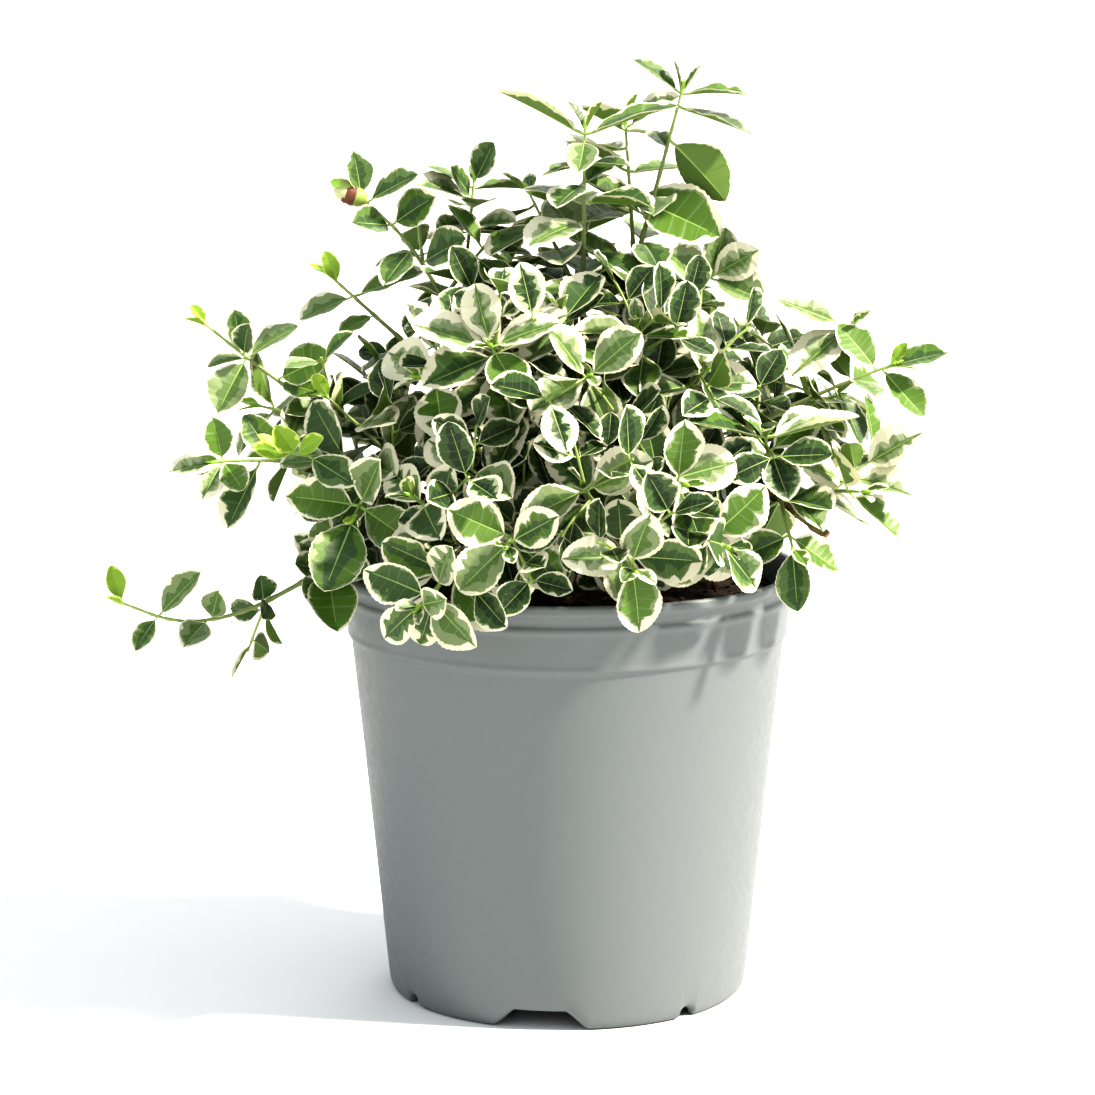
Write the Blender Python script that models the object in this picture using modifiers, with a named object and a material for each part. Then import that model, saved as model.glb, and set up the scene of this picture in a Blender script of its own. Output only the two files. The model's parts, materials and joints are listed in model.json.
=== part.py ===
# Wintercreeper euonymus in a round nursery pot, built in metres with +Z up.
# The pot, its compost, the short trunk and every bough are solids of their own. Each
# mass of foliage is one fused solid of stems and leaves at the end of its bough.
# Places are measured from the middle of the pot's underside. The last step slides
# everything together, so that the origin is under the middle of the whole plant.

import collections
import math
import random

import bmesh
import bpy
import numpy as np
from mathutils import Matrix, Vector
from mathutils.bvhtree import BVHTree

MM = 0.001
UP = Vector((0, 0, 1))
GAP = 0.3 * MM

# Pot
POT_HEIGHT = 157 * MM
RIM_RADIUS = 85 * MM
BASE_RADIUS = 65.7 * MM
WALL_SLOPE = 0.1006
WALL = 1.4 * MM
LIP_WIDTH = 3.2 * MM
LIP_HEIGHT = 3.6 * MM
BAND_TOP = 147.5 * MM
BAND_FOOT = 132.5 * MM
BAND_STEP = 1.2 * MM
FLOOR_UNDER = 7.8 * MM
FLOOR = 1.4 * MM
FOOT_WIDTH = 3.4 * MM
FOOT_ROUND = 2.2 * MM
NOTCH_RING = 11 * MM
POT_SIDES = 36

# Openings cut up into the foot of the pot, by their angle from the front
NOTCHES = (-9, 171)
NOTCH_FOOT = 35 * MM
NOTCH_HEAD = 19 * MM
NOTCH_HEIGHT = 6.6 * MM
SLOTS = (-59, 41, 121, 219)
SLOT_WIDTH = 7.4 * MM
SLOT_HEIGHT = 3.6 * MM
CUT_UNDER = 3 * MM
CUT_REACH = 9 * MM
DRAIN_HOLES = 6
DRAIN_START = 21
DRAIN_RING = 46 * MM
DRAIN_RADIUS = 4 * MM

# Compost, heaped a little towards a level middle
COMPOST_EDGE = 146 * MM
COMPOST_SHOULDER = 147 * MM
COMPOST_MIDDLE = 150 * MM
COMPOST_FLAT = 14 * MM

# Trunk and limbs
TRUNK_HEIGHT = 30 * MM
TRUNK_LEAN = Vector((0.003, -0.002, 0))
TRUNK_FLARE = 8.4 * MM
TRUNK_RADIUS = 5.4 * MM
TRUNK_TOP_RADIUS = 4.4 * MM
FORK_SPREAD = 14 * MM
LEADER_FOOT = 3.2 * MM
BOUGH_FOOT = 2.1 * MM
BRANCH_FOOT = 1.7 * MM
BOUGH_TIP = 1.35 * MM
STUB_TIP = 1.8 * MM
STEM_FOOT = 1.2 * MM
SIDE_FOOT = 0.9 * MM
TWIG_FOOT = 0.65 * MM
STEM_TIP = 0.45 * MM
SIDE_BARE = 4 * MM
ROD_STEP = 20 * MM
PATH_STEPS = 60
BOUGH_STEPS = 4

# Leaves, whose sizes are shares of a leaf's length
LEAF_WIDTH = 0.68
LEAF_THICKNESS = 0.032
LEAF_FOLD = 0.06
LEAF_BELLY = 0.52
LEAF_MIDDLE = 0.5

# The room a leaf needs: half widths as shares of its width, at shares of its length.
# Leaves of one mass may touch over the first stretch, where their stalks meet.
LEAF_ROOM = ((0.34, 0.25), (0.5, 0.52), (0.42, 0.8))
STALK_SHARE = 0.24
GUARD = 0.5 * MM
POT_CLEARANCE = 1.5 * MM

# How a shoot carries its leaves
INTERNODE = 17 * MM
FIRST_NODE = 5 * MM
TIP_CROWDING = 0.72
LIFT_OLD = 12
LIFT_YOUNG = 18
AXIS_PULL = 0.35
TIP_PULL = 0.7
OUTWARD_PULL = 0.5
NOD = 0.5
LIGHT_PULL = Vector((0.05, -0.25, 0.5))
LIGHT_SIDE = Vector((0.3, -0.95, 0))
FACE_SPREAD = 0.35
CROWN_HEART = Vector((0, 0.010, 0.190))
LEAF_SPREAD = (0.88, 1.08)
LEAF_TRIES = 4
BUD_LEAF = 0.42
FORESHORTENED = 1.1
JOINT_STOPS = 80
TWIG_CHANCE = 0.18
TWIG_REACH = 0.6
TWIG_LENGTH = (20 * MM, 36 * MM)
TWIG_LEAF = 0.78
SEED = 11

# One row for each bough with its mass. parent and fork say which limb it leaves and
# how far along, bare is the leafless share, bow lifts its path at one and two thirds
# of the way, leaf is the length of a full leaf, and tips holds the ends of its leading
# shoots, of which the first is the end of the main stem. level turns the leaves more to
# the sky, lift raises them by degrees, and clear is what the main stem leaves bare of
# grown leaves at its end.
Shoot = collections.namedtuple("Shoot", "name parent fork bare bow leaf tips level lift "
                               "clear", defaults=(0.0, 0, 0.0))
SHOOTS = (
    Shoot("top_right", "trunk", 1, 0.42, (0.004, 0.0), 0.029,
          ((0.041, 0.005, 0.329), (0.021, 0.022, 0.316)), 0.8, 0, 0.036),
    Shoot("top_left", "trunk", 0.70, 0.40, (0.0, 0.0), 0.029,
          ((0.006, -0.015, 0.317), (-0.014, 0.008, 0.292)), 0.8, 0, 0.018),
    Shoot("upper_left", "trunk", 0.78, 0.42, (0.016, 0.026), 0.022,
          ((-0.074, -0.005, 0.291), (-0.034, 0.015, 0.296), (-0.028, -0.004, 0.276)), 0.5, 0,
          0.052),
    Shoot("left_mid", "trunk", 0.62, 0.38, (-0.002, -0.012), 0.023,
          ((-0.130, -0.015, 0.247), (-0.112, -0.004, 0.216)), 0.3, 12, 0.040),
    Shoot("left_trail", "trunk", 0.28, 0.40, (0.060, -0.042), 0.020,
          ((-0.159, -0.035, 0.149), (-0.084, -0.048, 0.163)), 0.2, 28, 0.080),
    Shoot("front_left", "trunk", 0.34, 0.40, (0.020, 0.014), 0.025,
          ((-0.051, -0.098, 0.160), (-0.054, -0.076, 0.194))),
    Shoot("front_mid", "trunk", 0.42, 0.40, (0.018, 0.016), 0.025,
          ((0.022, -0.100, 0.173), (0.005, -0.088, 0.200))),
    Shoot("right_stub", "trunk", 0.40, 1.0, (0.022, 0.030), 0.0,
          ((0.091, -0.050, 0.176),)),
    Shoot("right_tip", "trunk", 0.66, 0.42, (0.012, 0.006), 0.024,
          ((0.117, -0.005, 0.231), (0.098, 0.006, 0.218)), 0.7, 8, 0.010),
    Shoot("back_left", "trunk", 0.52, 0.38, (0.016, 0.012), 0.023,
          ((-0.092, 0.062, 0.182), (-0.064, 0.074, 0.204))),
    Shoot("back_high", "trunk", 0.76, 0.40, (0.006, 0.004), 0.024,
          ((0.004, 0.058, 0.284), (-0.022, 0.052, 0.262)), 0.3),
    Shoot("back_right", "trunk", 0.46, 0.38, (0.016, 0.012), 0.024,
          ((0.098, 0.064, 0.206), (0.076, 0.086, 0.188)), 0.3),
    Shoot("back_low", "trunk", 0.30, 0.38, (0.020, 0.016), 0.024,
          ((-0.044, 0.112, 0.168), (-0.066, 0.094, 0.186))),
    Shoot("left_high", "upper_left", 0.40, 0.30, (0.000, 0.000), 0.022,
          ((-0.087, 0.005, 0.263), (-0.062, 0.012, 0.232)), 0.6, 0, 0.034),
    Shoot("left_low", "left_trail", 0.56, 0.20, (0.010, 0.010), 0.022,
          ((-0.124, -0.040, 0.201), (-0.104, 0.014, 0.196)), 0.2, 8, 0.034),
    Shoot("left_bud", "left_mid", 0.34, 0.30, (0.006, 0.002), 0.027,
          ((-0.100, -0.050, 0.206), (-0.086, -0.025, 0.222), (-0.075, -0.056, 0.184)), 0.2, 0,
          0.018),
    Shoot("front_mid_left", "front_left", 0.52, 0.20, (0.008, 0.010), 0.025,
          ((-0.021, -0.099, 0.181), (-0.036, -0.075, 0.206))),
    Shoot("centre_left", "upper_left", 0.40, 0.22, (0.006, 0.010), 0.026,
          ((-0.027, -0.064, 0.245), (-0.052, -0.048, 0.232)), 0.5),
    Shoot("centre", "top_left", 0.42, 0.18, (0.004, 0.006), 0.025,
          ((0.007, -0.074, 0.236), (-0.003, -0.052, 0.256)), 0.3),
    Shoot("front_right", "front_mid", 0.40, 0.24, (0.012, 0.014), 0.025,
          ((0.039, -0.086, 0.200), (0.054, -0.084, 0.178))),
    Shoot("centre_right", "right_tip", 0.36, 0.24, (0.008, 0.010), 0.024,
          ((0.048, -0.046, 0.234), (0.024, -0.044, 0.250)), 0.5),
    Shoot("right_high", "right_tip", 0.62, 0.20, (0.006, 0.004), 0.024,
          ((0.103, 0.004, 0.245), (0.072, 0.026, 0.228)), 0.7, 8, 0.022),
    Shoot("right_front", "right_stub", 0.80, 0.12, (0.0, 0.002), 0.026,
          ((0.068, -0.062, 0.213), (0.078, -0.066, 0.174)), 0.7),
    Shoot("right_low", "right_stub", 0.90, 0.16, (0.002, 0.002), 0.025,
          ((0.110, -0.032, 0.202), (0.103, -0.052, 0.192)), 0.8, 8),
    Shoot("right_upper", "top_right", 0.50, 0.22, (0.004, 0.006), 0.023,
          ((0.053, 0.004, 0.263), (0.047, -0.010, 0.248)), 0.3, 0, 0.014),
    Shoot("back_right_high", "back_high", 0.52, 0.24, (0.004, 0.006), 0.024,
          ((0.046, 0.052, 0.252), (0.040, 0.082, 0.232)), 0.3),
    Shoot("back_mid", "back_low", 0.50, 0.20, (0.012, 0.014), 0.024,
          ((0.018, 0.108, 0.200), (-0.006, 0.094, 0.228))),
)

# Leaves that show plainly in the photograph, placed one by one before the rest grow:
# the shoot, the place of the joint and of the leaf's tip, and the way that it faces.
Placed = collections.namedtuple("Placed", "shoot joint tip face")
PLACED = (
    Placed("top_right", (0.040, 0.005, 0.328), (0.025, 0.004, 0.341), (0.1, -0.35, 0.9)),
    Placed("top_right", (0.040, 0.005, 0.328), (0.061, 0.003, 0.330), (-0.1, -0.35, 0.9)),
    Placed("top_right", (0.038, 0.005, 0.324), (0.061, -0.004, 0.317), (0.3, -0.5, 0.8)),
    Placed("top_right", (0.038, 0.005, 0.324), (0.026, 0.012, 0.322), (-0.2, -0.4, 0.9)),
    Placed("top_right", (0.037, 0.006, 0.311), (0.056, 0.006, 0.293), (0.3, 0.9, 0.4)),
    Placed("top_right", (0.036, 0.006, 0.308), (0.031, 0.016, 0.315), (0.0, -0.5, 0.9)),
    Placed("top_right", (0.020, 0.022, 0.314), (0.036, 0.016, 0.325), (-0.2, -0.5, 0.9)),
    Placed("top_right", (0.020, 0.022, 0.308), (0.043, 0.010, 0.304), (0.1, -0.8, 0.6)),
    Placed("top_right", (0.026, 0.020, 0.291), (0.048, 0.002, 0.298), (0.0, -0.8, 0.7)),
    Placed("top_right", (0.029, 0.018, 0.287), (0.053, -0.002, 0.279), (0.1, -0.9, 0.5)),
    Placed("top_left", (0.005, -0.015, 0.315), (-0.021, -0.014, 0.330), (0.3, -0.3, 0.9)),
    Placed("top_left", (0.005, -0.015, 0.315), (0.033, -0.012, 0.325), (-0.2, -0.5, 0.9)),
    Placed("top_left", (0.006, -0.015, 0.313), (0.004, -0.028, 0.304), (0.0, -0.9, 0.5)),
    Placed("top_left", (0.006, -0.014, 0.304), (-0.007, -0.018, 0.302), (0.0, -0.3, 0.9)),
    Placed("top_left", (0.006, -0.014, 0.304), (0.020, -0.020, 0.305), (0.1, -0.3, 0.9)),
    Placed("centre_left", (-0.029, -0.062, 0.246), (-0.033, -0.058, 0.265), (0.1, -1, 0.2)),
    Placed("centre_left", (-0.029, -0.062, 0.245), (-0.053, -0.066, 0.252), (0, -0.6, 0.8)),
    Placed("centre_left", (-0.027, -0.062, 0.245), (-0.007, -0.066, 0.254), (-0.1, -0.6, 0.8)),
    Placed("right_front", (0.080, -0.066, 0.176), (0.079, -0.072, 0.157), (-0.4, -0.9, 0)),
    Placed("right_front", (0.069, -0.062, 0.215), (0.045, -0.070, 0.220), (0, -0.5, 0.9)),
    Placed("right_front", (0.071, -0.062, 0.215), (0.100, -0.060, 0.220), (0.1, -0.3, 0.9)),
    Placed("right_low", (0.104, -0.034, 0.199), (0.121, -0.040, 0.210), (0, -0.8, 0.6)),
    Placed("right_low", (0.100, -0.036, 0.194), (0.119, -0.046, 0.191), (0.1, -0.6, 0.8)),
    Placed("right_tip", (0.113, -0.005, 0.230), (0.134, -0.006, 0.236), (0, -0.3, 0.9)),
    Placed("right_tip", (0.112, -0.005, 0.228), (0.101, 0.000, 0.243), (0.2, -0.7, 0.7)),
    Placed("right_upper", (0.053, 0.004, 0.261), (0.056, 0.002, 0.277), (0.2, -0.9, 0.3)),
    Placed("right_upper", (0.053, 0.004, 0.260), (0.066, -0.002, 0.271), (0.4, -0.8, 0.4)),
    Placed("right_upper", (0.053, 0.004, 0.260), (0.070, -0.006, 0.255), (0.1, -0.7, 0.7)),
    Placed("right_upper", (0.052, 0.002, 0.260), (0.038, -0.010, 0.274), (-0.2, -0.8, 0.5)),
    Placed("right_upper", (0.051, 0.002, 0.257), (0.048, -0.012, 0.246), (0.2, -0.9, 0.4)),
    Placed("right_high", (0.102, 0.004, 0.244), (0.079, 0, 0.253), (0.3, -0.7, 0.7)),
    Placed("right_high", (0.102, 0.004, 0.244), (0.084, -0.006, 0.230), (-0.2, -0.7, 0.7)),
    Placed("right_high", (0.102, 0.004, 0.243), (0.117, 0, 0.234), (0.1, -0.6, 0.8)),
    Placed("right_tip", (0.105, -0.004, 0.221), (0.094, 0, 0.234), (0.4, 0.8, 0.3)),
    Placed("right_tip", (0.114, -0.005, 0.228), (0.127, -0.012, 0.214), (0.3, -0.8, 0.5)),
    Placed("right_low", (0.098, -0.040, 0.195), (0.083, -0.056, 0.203), (0, -0.8, 0.6)),
    Placed("right_low", (0.104, -0.036, 0.194), (0.100, -0.040, 0.204), (0.1, 0.9, 0.3)),
    Placed("left_mid", (-0.117, -0.014, 0.234), (-0.119, -0.016, 0.249), (0.3, -0.9, 0.3)),
    Placed("left_mid", (-0.117, -0.014, 0.234), (-0.110, -0.018, 0.249), (-0.3, -0.9, 0.3)),
    Placed("left_mid", (-0.117, -0.014, 0.233), (-0.102, -0.010, 0.244), (-0.2, -0.4, 0.9)),
    Placed("left_mid", (-0.117, -0.014, 0.233), (-0.125, -0.026, 0.218), (-0.2, -0.9, 0.4)),
    Placed("left_mid", (-0.117, -0.014, 0.233), (-0.131, -0.010, 0.230), (-0.1, -0.3, 0.9)),
    Placed("left_mid", (-0.106, -0.013, 0.225), (-0.088, -0.018, 0.235), (-0.1, -0.8, 0.6)),
    Placed("left_mid", (-0.105, -0.013, 0.224), (-0.091, -0.026, 0.229), (-0.1, -0.6, 0.8)),
    Placed("left_mid", (-0.095, -0.012, 0.220), (-0.098, -0.026, 0.209), (0.2, -0.9, 0.3)),
    Placed("left_low", (-0.122, -0.040, 0.203), (-0.125, -0.042, 0.217), (0.2, -0.9, 0.3)),
    Placed("left_low", (-0.122, -0.040, 0.201), (-0.139, -0.042, 0.198), (0, -0.6, 0.8)),
    Placed("left_low", (-0.122, -0.040, 0.201), (-0.115, -0.050, 0.194), (0.1, -0.9, 0.4)),
    Placed("left_low", (-0.122, -0.040, 0.201), (-0.128, -0.048, 0.191), (0, -0.9, 0.4)),
    Placed("left_low", (-0.109, -0.036, 0.197), (-0.121, -0.040, 0.177), (-0.5, -0.6, 0.4)),
    Placed("left_low", (-0.104, -0.034, 0.201), (-0.113, -0.034, 0.215), (0.1, -0.8, 0.5)),
    Placed("left_bud", (-0.097, -0.050, 0.196), (-0.106, -0.052, 0.210), (0.3, -0.9, 0.3)),
    Placed("left_bud", (-0.097, -0.050, 0.196), (-0.099, -0.054, 0.211), (-0.1, -0.9, 0.3)),
    Placed("left_bud", (-0.097, -0.050, 0.195), (-0.093, -0.050, 0.207), (-0.4, -0.8, 0.4)),
    Placed("left_bud", (-0.093, -0.048, 0.190), (-0.107, -0.054, 0.197), (0.2, -0.8, 0.5)),
    Placed("left_bud", (-0.093, -0.048, 0.190), (-0.076, -0.056, 0.196), (-0.1, -0.7, 0.7)),
    Placed("left_bud", (-0.082, -0.048, 0.188), (-0.066, -0.058, 0.211), (-0.3, -0.9, 0.3)),
    Placed("left_bud", (-0.080, -0.056, 0.187), (-0.083, -0.074, 0.165), (-0.05, -0.95, 0.25)),
    Placed("left_trail", (-0.159, -0.035, 0.149), (-0.163, -0.035, 0.161), (0.4, -0.9, 0.1)),
    Placed("left_trail", (-0.147, -0.036, 0.143), (-0.155, -0.038, 0.133), (-0.4, -0.8, 0.3)),
    Placed("left_trail", (-0.146, -0.036, 0.144), (-0.133, -0.034, 0.159), (-0.4, -0.6, 0.6)),
    Placed("left_trail", (-0.128, -0.036, 0.146), (-0.137, -0.046, 0.136), (0, -0.8, 0.5)),
    Placed("left_trail", (-0.127, -0.036, 0.146), (-0.123, -0.042, 0.158), (0.1, -0.8, 0.5)),
    Placed("left_trail", (-0.109, -0.036, 0.153), (-0.109, -0.040, 0.165), (0.4, -0.9, 0.1)),
    Placed("left_trail", (-0.108, -0.036, 0.153), (-0.109, -0.040, 0.143), (0.4, -0.9, 0.1)),
    Placed("left_trail", (-0.094, -0.038, 0.158), (-0.093, -0.050, 0.172), (0.2, -0.9, 0.4)),
    Placed("left_trail", (-0.093, -0.038, 0.158), (-0.082, -0.056, 0.147), (0.1, -0.8, 0.5)),
    Placed("left_trail", (-0.093, -0.038, 0.157), (-0.095, -0.050, 0.151), (-0.1, -0.9, 0.4)),
    Placed("left_high", (-0.085, 0.005, 0.257), (-0.087, 0.004, 0.268), (0.4, -0.9, 0.1)),
    Placed("left_high", (-0.081, 0.005, 0.252), (-0.098, 0, 0.247), (0.1, -0.35, 0.9)),
    Placed("left_high", (-0.081, 0.005, 0.252), (-0.059, 0.002, 0.262), (-0.1, -0.35, 0.9)),
    Placed("left_high", (-0.076, 0.004, 0.247), (-0.061, -0.004, 0.256), (0.2, -0.9, 0.4)),
    Placed("left_high", (-0.075, 0.004, 0.243), (-0.085, -0.004, 0.242), (0.1, -0.4, 0.9)),
    Placed("upper_left", (-0.074, -0.005, 0.293), (-0.076, -0.006, 0.308), (0.5, -0.85, 0)),
    Placed("upper_left", (-0.070, -0.005, 0.292), (-0.054, -0.010, 0.301), (0.1, -0.5, 0.85)),
    Placed("upper_left", (-0.058, -0.004, 0.287), (-0.072, -0.014, 0.283), (0.0, -0.85, 0.5)),
    Placed("upper_left", (-0.058, -0.004, 0.287), (-0.046, -0.016, 0.295), (0.0, -0.85, 0.5)),
    Placed("upper_left", (-0.050, -0.003, 0.277), (-0.062, -0.014, 0.267), (-0.2, -0.8, 0.6)),
    Placed("upper_left", (-0.046, -0.003, 0.272), (-0.036, -0.018, 0.279), (0, -0.8, 0.6)),
    Placed("upper_left", (-0.034, -0.004, 0.296), (-0.046, -0.006, 0.307), (0.2, -0.8, 0.6)),
    Placed("upper_left", (-0.034, 0.012, 0.296), (-0.027, 0.010, 0.309), (-0.5, -0.8, 0.2)),
    Placed("upper_left", (-0.033, 0.010, 0.290), (-0.053, 0.006, 0.296), (0, -0.4, 0.9)),
    Placed("upper_left", (-0.032, 0.006, 0.282), (-0.045, 0, 0.281), (0, -0.7, 0.7)),
    Placed("upper_left", (-0.032, 0.006, 0.280), (-0.017, 0, 0.284), (0, -0.5, 0.8)),
    Placed("upper_left", (-0.031, -0.004, 0.268), (-0.021, -0.016, 0.261), (0, -0.8, 0.6)),
)


def clear_scene():
    for thing in list(bpy.data.objects):
        bpy.data.objects.remove(thing, do_unlink=True)


def make_collection(name, holder=None):
    made = bpy.data.collections.new(name)
    (holder or bpy.context.scene.collection).children.link(made)
    return made


def make_material(name, colour, roughness, metallic=0.0):
    material = bpy.data.materials.new(name)
    material.use_nodes = True
    shader = material.node_tree.nodes["Principled BSDF"]
    shader.inputs["Base Color"].default_value = (*colour, 1)
    shader.inputs["Roughness"].default_value = roughness
    shader.inputs["Metallic"].default_value = metallic
    return material


def make_object(name, data, collection, material=None):
    made = bpy.data.objects.new(name, data)
    collection.objects.link(made)
    if material:
        data.materials.clear()
        data.materials.append(material)
    return made


def baked_mesh(thing, weld=0.001 * MM):
    """The object's mesh with its modifiers applied, its seams welded, in world space."""
    bpy.context.view_layer.update()
    graph = bpy.context.evaluated_depsgraph_get()
    mesh = bpy.data.meshes.new_from_object(thing.evaluated_get(graph), depsgraph=graph)
    mesh.transform(thing.matrix_world)
    form = bmesh.new()
    form.from_mesh(mesh)
    bmesh.ops.remove_doubles(form, verts=form.verts, dist=weld)
    bmesh.ops.recalc_face_normals(form, faces=form.faces)
    form.to_mesh(mesh)
    form.free()
    return mesh


# Turned pieces

def turned(name, profile, sides, collection, material):
    """A solid of revolution about Z from (radius, height) points."""
    mesh = bpy.data.meshes.new(name)
    points = [(radius, 0, height) for radius, height in profile]
    mesh.from_pydata(points, [(i, i + 1) for i in range(len(points) - 1)], [])
    piece = make_object(name, mesh, collection, material)
    screw = piece.modifiers.new("Turn", "SCREW")
    screw.steps = screw.render_steps = sides
    screw.use_merge_vertices = True
    screw.merge_threshold = 0.0001
    return piece


def wall_radius(height):
    """Outer radius of the plain wall at a height."""
    return BASE_RADIUS + WALL_SLOPE * height


def pot_profile():
    """From the middle of the floor up the inside, over the lip and down the outside."""
    band_foot = wall_radius(BAND_FOOT) + BAND_STEP
    band_top = wall_radius(BAND_TOP) + BAND_STEP
    groove = BAND_TOP + 2.2 * MM
    lip_foot = POT_HEIGHT - LIP_HEIGHT
    floor_top = FLOOR_UNDER + FLOOR
    return (
        (0, floor_top),
        (wall_radius(floor_top) - WALL, floor_top),
        (wall_radius(BAND_FOOT) - WALL, BAND_FOOT),
        (band_foot - WALL, BAND_FOOT + WALL),
        (band_top - WALL, lip_foot),
        (RIM_RADIUS - LIP_WIDTH, POT_HEIGHT - 0.6 * MM),
        (RIM_RADIUS - LIP_WIDTH + 0.6 * MM, POT_HEIGHT),
        (RIM_RADIUS - 0.8 * MM, POT_HEIGHT),
        (RIM_RADIUS, POT_HEIGHT - 0.8 * MM),
        (RIM_RADIUS, lip_foot + 0.4 * MM),
        (RIM_RADIUS - 1.0 * MM, lip_foot),
        (band_top - 0.6 * MM, groove),
        (band_top + 0.5 * MM, BAND_TOP),
        (band_top, BAND_TOP - 1.4 * MM),
        (band_foot, BAND_FOOT + 1.0 * MM),
        (wall_radius(BAND_FOOT), BAND_FOOT - 0.6 * MM),
        (wall_radius(NOTCH_RING), NOTCH_RING),
        (wall_radius(FOOT_ROUND), FOOT_ROUND),
        (BASE_RADIUS - 0.7 * MM, 0.7 * MM),
        (BASE_RADIUS - FOOT_ROUND, 0),
        (BASE_RADIUS - FOOT_WIDTH, 0),
        (BASE_RADIUS - FOOT_WIDTH, FLOOR_UNDER),
        (0, FLOOR_UNDER),
    )


def notch_outline():
    """The trapezoid of a wide notch, open below the foot."""
    spread = (NOTCH_FOOT - NOTCH_HEAD) / 2 / NOTCH_HEIGHT * CUT_UNDER
    foot, head = NOTCH_FOOT / 2 + spread, NOTCH_HEAD / 2
    return [(-foot, -CUT_UNDER), (foot, -CUT_UNDER),
            (head, NOTCH_HEIGHT), (-head, NOTCH_HEIGHT)]


def slot_outline():
    """A small arch, open below the foot."""
    reach = SLOT_WIDTH / 2
    arch = [(reach * math.cos(angle), SLOT_HEIGHT * math.sin(angle))
            for angle in np.linspace(0, math.pi, 7)]
    return [(-reach, -CUT_UNDER), (reach, -CUT_UNDER)] + arch


def wall_cutter(name, outline, angle, collection):
    """A flat outline pushed out through the front of the foot, then turned round Z."""
    curve = bpy.data.curves.new(name, "CURVE")
    curve.dimensions = "2D"
    curve.fill_mode = "BOTH"
    curve.extrude = CUT_REACH
    spline = curve.splines.new("POLY")
    spline.points.add(len(outline) - 1)
    for point, (across, high) in zip(spline.points, outline):
        point.co = (across, high, 0, 1)
    spline.use_cyclic_u = True
    guide = make_object(name + "_outline", curve, collection)
    around = Matrix.Rotation(math.radians(angle), 4, "Z")
    out = Matrix.Translation((0, -BASE_RADIUS, 0))
    guide.matrix_world = around @ out @ Matrix.Rotation(math.radians(90), 4, "X")
    cutter = make_object(name, baked_mesh(guide), collection)
    bpy.data.objects.remove(guide)
    return cutter


def drain_cutter(name, angle, collection):
    mesh = bpy.data.meshes.new(name)
    form = bmesh.new()
    bmesh.ops.create_cone(form, cap_ends=True, segments=8, radius1=DRAIN_RADIUS,
                          radius2=DRAIN_RADIUS, depth=4 * FLOOR)
    form.to_mesh(mesh)
    form.free()
    cutter = make_object(name, mesh, collection)
    around = Matrix.Rotation(math.radians(angle), 4, "Z")
    cutter.matrix_world = around @ Matrix.Translation(
        (0, -DRAIN_RING, FLOOR_UNDER + FLOOR / 2))
    return cutter


def make_pot(collection, cutters, material):
    pot = turned("pot", pot_profile(), POT_SIDES, collection, material)
    tools = [wall_cutter(f"notch_{i}", notch_outline(), angle, cutters)
             for i, angle in enumerate(NOTCHES)]
    tools += [wall_cutter(f"slot_{i}", slot_outline(), angle, cutters)
              for i, angle in enumerate(SLOTS)]
    tools += [drain_cutter(f"drain_{i}", 360 * i / DRAIN_HOLES + DRAIN_START, cutters)
              for i in range(DRAIN_HOLES)]
    for tool in tools:
        tool.hide_render = True
        tool.display_type = "WIRE"
        cut = pot.modifiers.new(tool.name, "BOOLEAN")
        cut.operation = "DIFFERENCE"
        cut.object = tool


def make_compost(collection, material):
    """Compost that fills the pot to just under its lip, flat where the trunk stands."""
    foot = FLOOR_UNDER + FLOOR + GAP
    inside = wall_radius(0) - WALL - GAP
    profile = (
        (0, COMPOST_MIDDLE),
        (COMPOST_FLAT, COMPOST_MIDDLE),
        (0.6 * RIM_RADIUS, COMPOST_SHOULDER),
        (inside + WALL_SLOPE * COMPOST_EDGE, COMPOST_EDGE),
        (inside + WALL_SLOPE * foot, foot),
        (0, foot),
    )
    turned("compost", profile, POT_SIDES, collection, material)


# Limbs

class Path:
    """A line through given points, read by the distance along it."""

    def __init__(self, points):
        self.points = points
        self.reach = [0.0]
        for one, two in zip(points, points[1:]):
            self.reach.append(self.reach[-1] + (two - one).length)

    @property
    def length(self):
        return self.reach[-1]

    def at(self, distance):
        """The place and the direction at a distance from the start."""
        distance = min(max(distance, 0.0), self.length)
        i = min(int(np.searchsorted(self.reach, distance, side="right")) - 1,
                len(self.points) - 2)
        one, two = self.points[i], self.points[i + 1]
        part = (distance - self.reach[i]) / (self.reach[i + 1] - self.reach[i])
        return one.lerp(two, part), (two - one).normalized()

    def part(self, low, high, count):
        """count + 1 places from distance low to distance high."""
        return [self.at(low + (high - low) * i / count)[0] for i in range(count + 1)]


def bowed_path(start, end, bow, steps=PATH_STEPS, spread=0.0, onward=None):
    """A smooth path, raised by bow over one third and two thirds of the way. spread
    carries its first third out sideways, and onward is the direction it sets out in."""
    aside = Vector((end.x - start.x, end.y - start.y, 0)).normalized()
    third = start.lerp(end, 1 / 3) + UP * bow[0] + aside * spread
    if onward is not None:
        third = start + onward * (end - start).length / 3
    two_thirds = start.lerp(end, 2 / 3) + UP * bow[1]
    points = []
    for step in range(steps + 1):
        t = step / steps
        s = 1 - t
        points.append(start * s**3 + third * (3 * s * s * t)
                      + two_thirds * (3 * s * t * t) + end * t**3)
    return Path(points)


class Limb:
    """A round limb that tapers along its path."""

    def __init__(self, path, foot, tip):
        self.path, self.foot, self.tip = path, foot, tip

    def radius(self, distance):
        return self.foot + (self.tip - self.foot) * distance / self.path.length

    def clearance(self, place):
        """How far a place lies outside this limb's surface."""
        steps = 40
        stops = [self.path.length * i / steps for i in range(steps + 1)]
        return min((place - self.path.at(stop)[0]).length - self.radius(stop)
                   for stop in stops)


def squared_to(direction):
    """Two directions square to this one and to each other."""
    aside = direction.cross(UP if abs(direction.z) < 0.9 else Vector((1, 0, 0)))
    aside.normalize()
    return aside, direction.cross(aside)


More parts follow.
